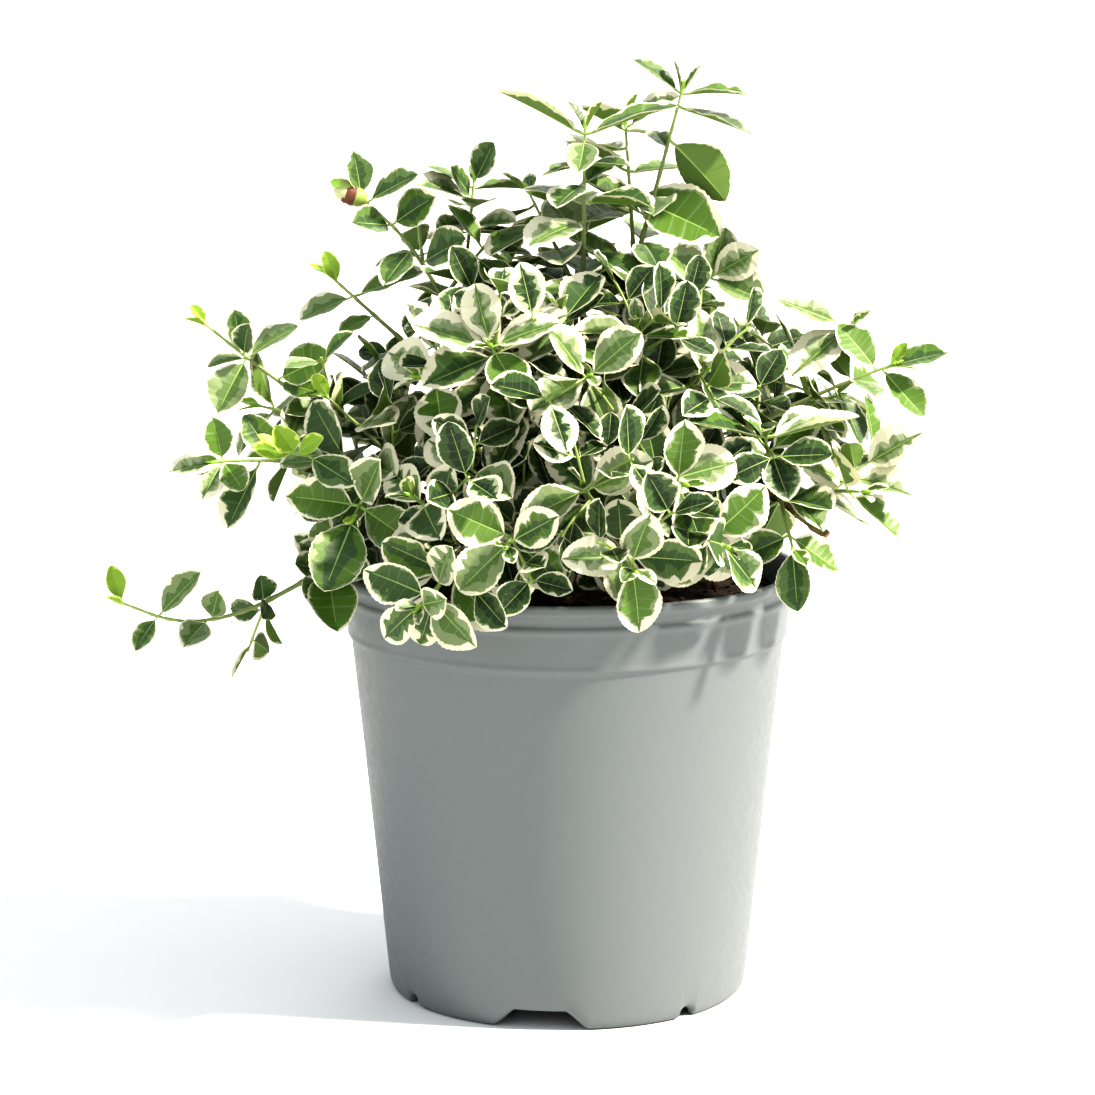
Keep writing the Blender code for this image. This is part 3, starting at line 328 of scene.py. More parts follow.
def lift_foot(radius, height, angle):
    """Cuts the notches and the slots, by lifting the low points of the wall."""
    top = FLOOR_UNDER if radius < FOOT_INSIDE + HAIR else FOOT_LIFT_TOP
    if height >= top or radius < FOOT_INSIDE - HAIR:
        return radius, height
    return radius, height + foot_lift(angle) * (1 - height / top)


pot_form = bmesh.new()
pot_form.from_mesh(turned_mesh("pot_wall", pot_line, turn_angles(), lift_foot))
pot_form.from_mesh(floor_plate())
pot_mesh = bpy.data.meshes.new("pot_shell")
pot_form.to_mesh(pot_mesh)
pot_form.free()
grey_plastic = make_finish("grey_plastic", (0.122, 0.142, 0.145), (0.46, 0.58),
                           3 * MM, 0.006 * MM, 0.4)
pot = add_piece("pot_shell", pot_mesh, [grey_plastic], 35)
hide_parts("pot")


# Compost
# Dark peat compost, heaped a little towards the trunk and settled just under the lip.
# Its surface is crumbly, with loose lumps, bark fibre and a few bits on the pot's lip.
COMPOST_EDGE = 146 * MM
COMPOST_SHOULDER = 147 * MM
COMPOST_MIDDLE = 150 * MM
COMPOST_FLAT = 14 * MM
COMPOST_GAP = 0.3 * MM
COMPOST_ROUGHNESS = 1.5 * MM
SHOULDER_AT = 0.6 * RIM_RADIUS
EDGE_AT = RIM_RADIUS - 6 * MM
LUMPS_PER_METRE = (90, 420)
LUMP_HEIGHTS = (0.7, 0.5)
MIDDLE_RADIUS = 0.2 * MM
COMPOST_RINGS = 48
COMPOST_TURN = 2.5
CRUMBS = 1500
CRUMB_SIZE = 0.5
CRUMB_EXTRA = 1.6
CRUMB_SPREAD = 0.985
TRUNK_CLEARING = 9 * MM
LIP_CRUMBS = 46
LIP_TURN = (40, 7)
LIP_REACH = (82.4, 84.2)
LIP_CRUMB_SIZE = (0.15, 0.42)
CRUMB_JAGS = 0.25
CRUMB_STRETCH = ((0.6, 1.5), (0.5, 0.9), (0.35, 0.7))
PEAT, BROWN_PEAT, FIBRE = range(3)
CRUMB_TONES = (PEAT, PEAT, PEAT, BROWN_PEAT, BROWN_PEAT, FIBRE)


def compost_height(x, y):
    """Height of the compost's surface at a place measured from the pot's axis."""
    away = math.hypot(x, y)
    if away < SHOULDER_AT:
        share = max(0.0, (away - COMPOST_FLAT) / (SHOULDER_AT - COMPOST_FLAT))
        height = COMPOST_MIDDLE + (COMPOST_SHOULDER - COMPOST_MIDDLE) * share
    else:
        share = min(1.0, (away - SHOULDER_AT) / (EDGE_AT - SHOULDER_AT))
        height = COMPOST_SHOULDER + (COMPOST_EDGE - COMPOST_SHOULDER) * share
    coarse = noise.noise(Vector((x, y, 0)) * LUMPS_PER_METRE[0])
    fine = noise.noise(Vector((x, y, 3)) * LUMPS_PER_METRE[1])
    return height + COMPOST_ROUGHNESS * (LUMP_HEIGHTS[0] * coarse + LUMP_HEIGHTS[1] * fine)


def compost_bend(radius, height, angle):
    """Lays the points of the top on the compost's surface."""
    if height < COMPOST_SHOULDER - 5 * MM:
        return radius, height
    turn = math.radians(angle)
    return radius, compost_height(radius * math.sin(turn), -radius * math.cos(turn))


inner_radius = wall_radius(0) - WALL - COMPOST_GAP
compost_foot = FLOOR_UNDER + FLOOR + COMPOST_GAP
compost_line = [(MIDDLE_RADIUS, compost_foot),
                (inner_radius + WALL_SLOPE * compost_foot, compost_foot)]
compost_edge = inner_radius + WALL_SLOPE * COMPOST_EDGE
compost_line += [(compost_edge * (1 - i / COMPOST_RINGS) + MIDDLE_RADIUS, COMPOST_SHOULDER)
                 for i in range(COMPOST_RINGS + 1)]
compost_turns = [COMPOST_TURN * i for i in range(round(360 / COMPOST_TURN))]
compost_mesh = turned_mesh("compost", compost_line, compost_turns, compost_bend)


def crumb_shape():
    """The points and faces of a plain round crumb of radius 1."""
    form = bmesh.new()
    bmesh.ops.create_icosphere(form, subdivisions=1, radius=1)
    points = np.array([vert.co[:] for vert in form.verts])
    faces = [[vert.index for vert in face.verts] for face in form.faces]
    form.free()
    return points, faces


def joined_mesh(name, shells):
    """One mesh from shells. Each has its points, its faces as lists of point numbers, and
    the number of the finish of each face."""
    points, faces, tones = [], [], []
    for shell_points, shell_faces, shell_tones in shells:
        start = len(points)
        points += [tuple(point) for point in shell_points]
        faces += [[start + i for i in face] for face in shell_faces]
        tones += list(shell_tones)
    mesh = bpy.data.meshes.new(name)
    mesh.from_pydata(points, [], faces)
    mesh.polygons.foreach_set("material_index", tones)
    return mesh


def crumb_shells(places, sizes, seed):
    """Small jagged lumps at places, each squashed and turned its own way."""
    draw = np.random.default_rng(seed)
    points, faces = crumb_shape()
    shells = []
    for place, size in zip(places, sizes):
        jagged = points * (1 + draw.uniform(-CRUMB_JAGS, CRUMB_JAGS, (len(points), 1)))
        stretch = np.array([draw.uniform(*span) for span in CRUMB_STRETCH])
        angle = draw.uniform(0, 2 * math.pi)
        spin = np.array(((math.cos(angle), -math.sin(angle), 0),
                         (math.sin(angle), math.cos(angle), 0), (0, 0, 1)))
        tone = draw.choice(CRUMB_TONES)
        shells.append(((jagged * stretch * size) @ spin.T + place, faces,
                       [tone] * len(faces)))
    return shells


crumb_draw = random.Random(5)
crumb_places, crumb_sizes = [], []
for _ in range(CRUMBS):
    away = compost_edge * CRUMB_SPREAD * math.sqrt(crumb_draw.random())
    turn = crumb_draw.uniform(0, 2 * math.pi)
    x, y = away * math.cos(turn), away * math.sin(turn)
    size = (CRUMB_SIZE + CRUMB_EXTRA * crumb_draw.random() ** 3) * MM
    if away > TRUNK_CLEARING:
        crumb_places.append((x, y, compost_height(x, y) + 0.2 * size))
        crumb_sizes.append(size)
for _ in range(LIP_CRUMBS):
    turn = math.radians(crumb_draw.gauss(*LIP_TURN))
    away = crumb_draw.uniform(*LIP_REACH) * MM
    size = crumb_draw.uniform(*LIP_CRUMB_SIZE) * MM
    crumb_places.append((away * math.sin(turn), -away * math.cos(turn),
                         POT_HEIGHT + 0.3 * size))
    crumb_sizes.append(size)
peat_finishes = [
    make_finish("peat", (0.012, 0.009, 0.007), (0.85, 1.0), 1.2 * MM, 0.4 * MM, 0.25,
                (0.028, 0.019, 0.013)),
    make_finish("peat_brown", (0.035, 0.022, 0.013), (0.8, 1.0), 1 * MM, 0.2 * MM, 0.25),
    make_finish("bark_fibre", (0.085, 0.050, 0.027), (0.7, 0.95), 1 * MM, 0.2 * MM, 0.3),
]
compost = add_piece("compost_heap", compost_mesh, peat_finishes[:1], 70)
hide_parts("compost")
crumbs = joined_mesh("crumbs", crumb_shells(crumb_places, crumb_sizes, 7))
add_piece("compost_crumbs", crumbs, peat_finishes, 25)


# Trunk and boughs
# One short woody trunk, cut level at the compost, whose boughs leave it low down. The
# bark is brown and ridged lengthwise, and turns smoother and greener along each bough.
# One bough was cut off to a stub.
TRUNK_HEIGHT = 30 * MM
TRUNK_LEAN = Vector((0.003, -0.002, 0))
TRUNK_FLARE = 8.4 * MM
TRUNK_RADIUS = 5.4 * MM
TRUNK_TOP_RADIUS = 4.4 * MM
TRUNK_GAP = 0.3 * MM
TRUNK_OVERLAP = 1.5 * MM
FORK_SPREAD = 14 * MM
LEADER_FOOT = 3.2 * MM
BOUGH_FOOT = 2.1 * MM
BRANCH_FOOT = 1.7 * MM
BOUGH_TIP = 1.35 * MM
STUB_TIP = 1.8 * MM
PATH_STEPS = 60
BOUGH_STEPS = 4
SPINE_STOPS = 41
CLEAR_STEP = 0.2 * MM
SHORTEST_BOUGH = 4 * MM
BARK_STEP = 1.3 * MM
TRUNK_STEP = 0.7 * MM
TRUNK_PROFILE = (
    (0, TRUNK_FLARE),
    (1.5 * MM, 0.84 * TRUNK_FLARE),
    (4 * MM, 0.72 * TRUNK_FLARE),
    (9 * MM, TRUNK_RADIUS),
    (0.6 * TRUNK_HEIGHT, 0.92 * TRUNK_RADIUS),
    (TRUNK_HEIGHT, TRUNK_TOP_RADIUS),
)
TRUNK_BARK = (36, 0.16, 700)
BOUGH_BARK = (14, 0.13, 900)
OLD_BARK_SHARE = 0.55
KNOT_STEP = 9 * MM
KNOT_SWELL = 0.32
KNOT_LENGTH = 1.3 * MM
OLD_BARK, YOUNG_BARK, CUT_WOOD = range(3)
RIDGES_ROUND = 2.2
RIDGES_ALONG = 45
RIDGES_BY_RADIUS = 900
ROUGH_SHARE = 0.5

# One row for each bough with its mass, in millimetres from the pot's axis: the limb that
# it leaves and how far along, its leafless share, the lift of its path at one and two
# thirds, the length of a full leaf, and the ends of its leading shoots. Then come how
# level its leaves lie, by how many degrees more they point along the shoot, and how much
# of the leading shoot's end is left clear for the placed leaves.
Shoot = collections.namedtuple("Shoot", "name parent fork bare bow leaf tips level lift "
                               "clear", defaults=(0.0, 0, 0.0))
SHOOT_ROWS = (
    Shoot("top_right", "trunk", 1, 0.42, (4, 0), 29, ((41, 5, 329), (21, 22, 316)), 0.8, 0, 36),
    Shoot("top_left", "trunk", 0.70, 0.40, (0, 0), 29,
          ((6, -15, 317), (-14, 8, 292)), 0.8, 0, 18),
    Shoot("upper_left", "trunk", 0.78, 0.42, (16, 26), 22,
          ((-74, -5, 291), (-34, 15, 296), (-28, -4, 276)), 0.5, 0, 52),
    Shoot("left_mid", "trunk", 0.62, 0.38, (-2, -12), 23,
          ((-130, -15, 247), (-112, -4, 216)), 0.3, 12, 40),
    Shoot("left_trail", "trunk", 0.28, 0.40, (60, -42), 20,
          ((-159, -35, 149), (-84, -48, 163)), 0.2, 28, 80),
    Shoot("front_left", "trunk", 0.34, 0.40, (20, 14), 25, ((-51, -98, 160), (-54, -76, 194))),
    Shoot("front_mid", "trunk", 0.42, 0.40, (18, 16), 25, ((22, -100, 173), (5, -88, 200))),
    Shoot("right_stub", "trunk", 0.40, 1.0, (22, 30), 0, ((91, -50, 176),)),
    Shoot("right_tip", "trunk", 0.66, 0.42, (12, 6), 24,
          ((117, -5, 231), (98, 6, 218)), 0.7, 8, 10),
    Shoot("back_left", "trunk", 0.52, 0.38, (16, 12), 23, ((-92, 62, 182), (-64, 74, 204))),
    Shoot("back_high", "trunk", 0.76, 0.40, (6, 4), 24, ((4, 58, 284), (-22, 52, 262)), 0.3),
    Shoot("back_right", "trunk", 0.46, 0.38, (16, 12), 24, ((98, 64, 206), (76, 86, 188)), 0.3),
    Shoot("back_low", "trunk", 0.30, 0.38, (20, 16), 24, ((-44, 112, 168), (-66, 94, 186))),
    Shoot("left_high", "upper_left", 0.40, 0.30, (0, 0), 22,
          ((-87, 5, 263), (-62, 12, 232)), 0.6, 0, 34),
    Shoot("left_low", "left_trail", 0.56, 0.20, (10, 10), 22,
          ((-124, -40, 201), (-104, 14, 196)), 0.2, 8, 34),
    Shoot("left_bud", "left_mid", 0.34, 0.30, (6, 2), 27,
          ((-100, -50, 206), (-86, -25, 222), (-75, -56, 184)), 0.2, 0, 18),
    Shoot("front_mid_left", "front_left", 0.52, 0.20, (8, 10), 25,
          ((-21, -99, 181), (-36, -75, 206))),
    Shoot("centre_left", "upper_left", 0.40, 0.22, (6, 10), 26,
          ((-27, -64, 245), (-52, -48, 232)), 0.5),
    Shoot("centre", "top_left", 0.42, 0.18, (4, 6), 25, ((7, -74, 236), (-3, -52, 256)), 0.3),
    Shoot("front_right", "front_mid", 0.40, 0.24, (12, 14), 25,
          ((39, -86, 200), (54, -84, 178))),
    Shoot("centre_right", "right_tip", 0.36, 0.24, (8, 10), 24,
          ((48, -46, 234), (24, -44, 250)), 0.5),
    Shoot("right_high", "right_tip", 0.62, 0.20, (6, 4), 24,
          ((103, 4, 245), (72, 26, 228)), 0.7, 8, 22),
    Shoot("right_front", "right_stub", 0.80, 0.12, (0, 2), 26,
          ((68, -62, 213), (78, -66, 174)), 0.7),
    Shoot("right_low", "right_stub", 0.90, 0.16, (2, 2), 25,
          ((110, -32, 202), (103, -52, 192)), 0.8, 8),
    Shoot("right_upper", "top_right", 0.50, 0.22, (4, 6), 23,
          ((53, 4, 263), (47, -10, 248)), 0.3, 0, 14),
    Shoot("back_right_high", "back_high", 0.52, 0.24, (4, 6), 24,
          ((46, 52, 252), (40, 82, 232)), 0.3),
    Shoot("back_mid", "back_low", 0.50, 0.20, (12, 14), 24, ((18, 108, 200), (-6, 94, 228))),
)


def metres(value):
    """A length in millimetres, or a tuple of such lengths or tuples, in metres."""
    if isinstance(value, tuple):
        return tuple(metres(part) for part in value)
    return value / 1000


SHOOTS = [row._replace(bow=metres(row.bow), leaf=metres(row.leaf), tips=metres(row.tips),
                       clear=metres(row.clear)) for row in SHOOT_ROWS]


class Path:
    """A line through given points, read by the distance along it."""

    def __init__(self, points):
        self.points = points
        self.reach = [0.0]
        for one, two in zip(points, points[1:]):
            self.reach.append(self.reach[-1] + (two - one).length)

    @property
    def length(self):
        """The length of the whole line."""
        return self.reach[-1]

    def at(self, distance):
        """The place and the direction at a distance from the start."""
        distance = min(max(distance, 0.0), self.length)
        i = min(int(np.searchsorted(self.reach, distance, side="right")) - 1,
                len(self.points) - 2)
        one, two = self.points[i], self.points[i + 1]
        part = (distance - self.reach[i]) / (self.reach[i + 1] - self.reach[i])
        return one.lerp(two, part), (two - one).normalized()

    def part(self, low, high, count):
        """count + 1 places from distance low to distance high."""
        return [self.at(low + (high - low) * i / count)[0] for i in range(count + 1)]


def bowed_path(start, end, bow, steps=PATH_STEPS, spread=0.0, onward=None):
    """A smooth path, raised by bow over one third and two thirds of the way. spread
    carries its first third out sideways, and onward is the direction it sets out in."""
    aside = Vector((end.x - start.x, end.y - start.y, 0)).normalized()
    third = start.lerp(end, 1 / 3) + UP * bow[0] + aside * spread
    if onward is not None:
        third = start + onward * (end - start).length / 3
    two_thirds = start.lerp(end, 2 / 3) + UP * bow[1]
    points = []
    for step in range(steps + 1):
        t = step / steps
        s = 1 - t
        points.append(start * s**3 + third * (3 * s * s * t)
                      + two_thirds * (3 * s * t * t) + end * t**3)
    return Path(points)


class Limb:
    """A round limb that tapers along its path. line is its whole path from the fork, and
    low and high are where the bough itself begins and ends on it."""

    def __init__(self, path, foot, tip, line, low, high):
        self.path, self.foot, self.tip = path, foot, tip
        self.line, self.low, self.high = line, low, high
        stops = np.linspace(0, path.length, SPINE_STOPS)
        self.spine = np.array([path.at(stop)[0] for stop in stops])
        self.widths = np.array([self.radius(stop) for stop in stops])

    def radius(self, distance):
        """The radius at a distance along the bough."""
        return self.foot + (self.tip - self.foot) * distance / self.path.length

    def clearance(self, places):
        """How far the nearest of these places lies outside this limb's surface."""
        away = np.linalg.norm(places[:, None] - self.spine[None], axis=2)
        return (away - self.widths).min()


def squared_to(direction):
    """Two directions square to this one and to each other."""
    aside = direction.cross(UP if abs(direction.z) < 0.9 else Vector((1, 0, 0)))
    aside.normalize()
    return aside, direction.cross(aside)


def outward(axis, angle):
    """The direction square to an axis, at an angle round it."""
    aside, across = squared_to(axis)
    return aside * math.cos(angle) + across * math.sin(angle)


def clear_start(path, radius, limbs):
    """How far along the path a cut end of this radius first stands clear of the limbs."""
    distance = 0.0
    while distance < path.length:
        place, direction = path.at(distance)
        rim = np.array([place + outward(direction, angle) * radius
                        for angle in np.linspace(0, 2 * math.pi, 8, endpoint=False)])
        if min(limb.clearance(rim) for limb in limbs) > TRUNK_GAP:
            return distance
        distance += CLEAR_STEP
    return distance


def trunk_limb():
    """The trunk, leaning a little more the higher it gets."""
    foot = Vector((0, 0, COMPOST_MIDDLE + TRUNK_GAP))
    path = Path([foot + TRUNK_LEAN * t**2 + UP * TRUNK_HEIGHT * t
                 for t in np.linspace(0, 1, PATH_STEPS + 1)])
    return Limb(path, TRUNK_RADIUS, TRUNK_TOP_RADIUS, path, 0.0, path.length)


def grow_limbs():
    """Works out every bough and the main stem that carries on from it."""
    limbs, stems = {"trunk": trunk_limb()}, {}
    for shoot in SHOOTS:
        parent = limbs[shoot.parent]
        start, onward = parent.path.at(parent.path.length * shoot.fork)
        end = Vector(shoot.tips[0])
        if shoot.fork == 1:
            path = bowed_path(start + onward * TRUNK_GAP, end, shoot.bow, onward=onward)
            foot, low = LEADER_FOOT, 0.0
        else:
            foot, spread = BRANCH_FOOT, 0.0
            if shoot.parent == "trunk":
                foot, spread = BOUGH_FOOT, FORK_SPREAD
            path = bowed_path(start, end, shoot.bow, spread=spread)
            low = clear_start(path, foot, limbs.values())
        tip = BOUGH_TIP if shoot.bare < 1 else STUB_TIP
        high = max(low + SHORTEST_BOUGH, path.length * shoot.bare)
        wood = Path(path.part(low, high, BOUGH_STEPS))
        limbs[shoot.name] = Limb(wood, foot, tip, path, low, high)
        if shoot.bare < 1:
            stems[shoot.name] = path, high + TRUNK_GAP, path.length
    return limbs, stems


def tube_faces(rings, sides):
    """The faces of a closed tube, from its foot to its tip and then its two ends."""
    faces = []
    for k in range(rings - 1):
        for i in range(sides):
            j = (i + 1) % sides
            faces.append((k * sides + i, k * sides + j,
                          (k + 1) * sides + j, (k + 1) * sides + i))
    faces.append(tuple(range(sides))[::-1])
    faces.append(tuple((rings - 1) * sides + i for i in range(sides)))
    return faces


def sleeve(places, radii, sides, ridge, grain, joints=()):
    """A round limb along places, as its points and faces. ridge is the height of its
    lengthwise ridges as a share of its radius, joints are distances where it swells."""
    line = Path(places)
    frame_side = squared_to(line.at(0)[1])[0]
    points = []
    for k, (place, radius) in enumerate(zip(places, radii)):
        direction = line.at(line.reach[k])[1]
        frame_side = (frame_side - direction * frame_side.dot(direction)).normalized()
        across = direction.cross(frame_side)
        swell = 1 + sum(KNOT_SWELL * math.exp(-((line.reach[k] - joint) / KNOT_LENGTH) ** 2)
                        for joint in joints)
        for i in range(sides):
            angle = 2 * math.pi * i / sides
            out = frame_side * math.cos(angle) + across * math.sin(angle)
            rough = noise.noise(Vector((place + out * radius) * grain))
            groove = noise.noise(Vector((math.cos(angle) * RIDGES_ROUND,
                                         math.sin(angle) * RIDGES_ROUND,
                                         line.reach[k] * RIDGES_ALONG
                                         + radius * RIDGES_BY_RADIUS)))
            reach = radius * swell * (1 + ridge * (groove + ROUGH_SHARE * rough))
            points.append(place + out * reach)
    return points, tube_faces(len(places), sides)


def even_places(line, low, high, step):
    """Places about a step apart from distance low to distance high."""
    count = max(3, round((high - low) / step))
    return line.part(low, high, count)


limbs, stems = grow_limbs()
wood_shells = []
for name, limb in limbs.items():
    if name == "trunk":
        places = even_places(limb.line, 0, limb.high, TRUNK_STEP)
        places.append(places[-1] + limb.line.at(limb.high)[1] * TRUNK_OVERLAP)
        heights, widths = zip(*TRUNK_PROFILE)
        radii = [float(np.interp(h, heights, widths)) for h in Path(places).reach]
        points, faces = sleeve(places, radii, *TRUNK_BARK)
        wood_shells.append((points, faces, [OLD_BARK] * len(faces)))
        continue
    places = even_places(limb.line, 0, limb.high, BARK_STEP)
    length = max(limb.high - limb.low, 1 * MM)
    radii = [limb.foot + (limb.tip - limb.foot)
             * min(1, max(0, (distance - limb.low) / length))
             for distance in Path(places).reach]
    knots = [limb.low + KNOT_STEP * i for i in range(1, int(length / KNOT_STEP) + 1)]
    points, faces = sleeve(places, radii, *BOUGH_BARK, knots)
    tones = [OLD_BARK if face < OLD_BARK_SHARE * len(faces) else YOUNG_BARK
             for face in range(len(faces))]
    if name == "right_stub":
        tones[-1] = CUT_WOOD
    wood_shells.append((points, faces, tones))
bark_finishes = [
    make_finish("old_bark", (0.075, 0.050, 0.030), (0.75, 0.95), 0.9 * MM, 0.25 * MM, 0.3,
                (0.16, 0.115, 0.07)),
    make_finish("young_bark", (0.13, 0.115, 0.045), (0.55, 0.8), 1.1 * MM, 0.12 * MM, 0.35,
                (0.20, 0.17, 0.08)),
    make_finish("cut_wood", (0.30, 0.085, 0.050), (0.6, 0.85), 0.5 * MM, 0.1 * MM, 0.3),
]
wood = add_piece("trunk_and_boughs", joined_mesh("trunk_and_boughs", wood_shells),
                 bark_finishes, 50)
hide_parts("trunk", *("bough_" + shoot.name for shoot in SHOOTS))


# Growth of the shoots
# Each bough's stem carries pairs of leaves, every pair a quarter turn from the last and
# closer together towards the tip. This works out where stems, twigs and leaves go, by
# the same seeded rule as the solids, and then fills in finer twigs in the room between.
STEM_FOOT = 1.2 * MM
SIDE_FOOT = 0.9 * MM
TWIG_FOOT = 0.65 * MM
STEM_TIP = 0.45 * MM
SIDES_FROM = 0.10
SIDES_APART = 0.16
SIDE_BOW = 0.08
SIDE_BARE = 4 * MM
ROD_STEP = 20 * MM
LEAF_WIDTH = 0.68
LEAF_THICKNESS = 0.032
LEAF_FOLD = 0.06
LEAF_MIDDLE = 0.5
LEAF_REACH = 0.6
LEAF_ROOM = ((0.34, 0.25), (0.5, 0.52), (0.42, 0.8))
STALK_SHARE = 0.24
GUARD = 0.5 * MM
ROD_SWELL = 1.3
POT_CLEARANCE = 1.5 * MM
INTERNODE = 17 * MM
FIRST_NODE = 5 * MM
TIP_CROWDING = 0.72
LIFT_OLD = 12
LIFT_YOUNG = 18
AXIS_PULL = 0.35
TIP_PULL = 0.7
OUTWARD_PULL = 0.5
NOD = 0.5
LIGHT_PULL = Vector((0.05, -0.25, 0.5))
LIGHT_SIDE = Vector((0.3, -0.95, 0))
FACE_SPREAD = 0.35
CROWN_HEART = Vector((0, 0.010, 0.190))
LEAF_SPREAD = (0.88, 1.08)
LEAF_TRIES = 4
FIRST_WOBBLE = 0.12
TRY_WOBBLE = 0.16
TRY_SHRINK = 0.07
TURN_SPREAD = 0.2
TIP_SHRINK = 1.85
BUD_LEAF = 0.42
FORESHORTENED = 1.1
JOINT_STOPS = 80
TWIG_CHANCE = 0.18
TWIG_REACH = 0.6
TWIG_LENGTH = (20 * MM, 36 * MM)
TWIG_LEAF = 0.78
TWIG_START = 1.5 * MM
TWIG_HABIT = (0.8, 0.5, 0.25, 0.12, 2, 2.6 * MM, GUARD)
SEED = 11
FINE_LENGTH = (10 * MM, 26 * MM)
FINE_LEAF = (0.80, 0.66)
FINE_GUARD = 0.15 * MM
FINE_SPREAD = 0.4
FINE_JOINTS = (0.55, 0.93)
FINE_START = 0.8 * MM
FINE_THINNER = 0.8
FINE_HABIT = (0.9, 0.35, 0.2, 0.1, 4, 2.2 * MM, 0.0)
CORE_MIDDLE = Vector((0.006, -0.006, 0.192))
CORE_REACH = Vector((0.084, 0.092, 0.066))

Leaf = collections.namedtuple("Leaf", "mass matrix size kind")
GROWN, YOUNG, FINE, PLAIN, PALE = range(5)

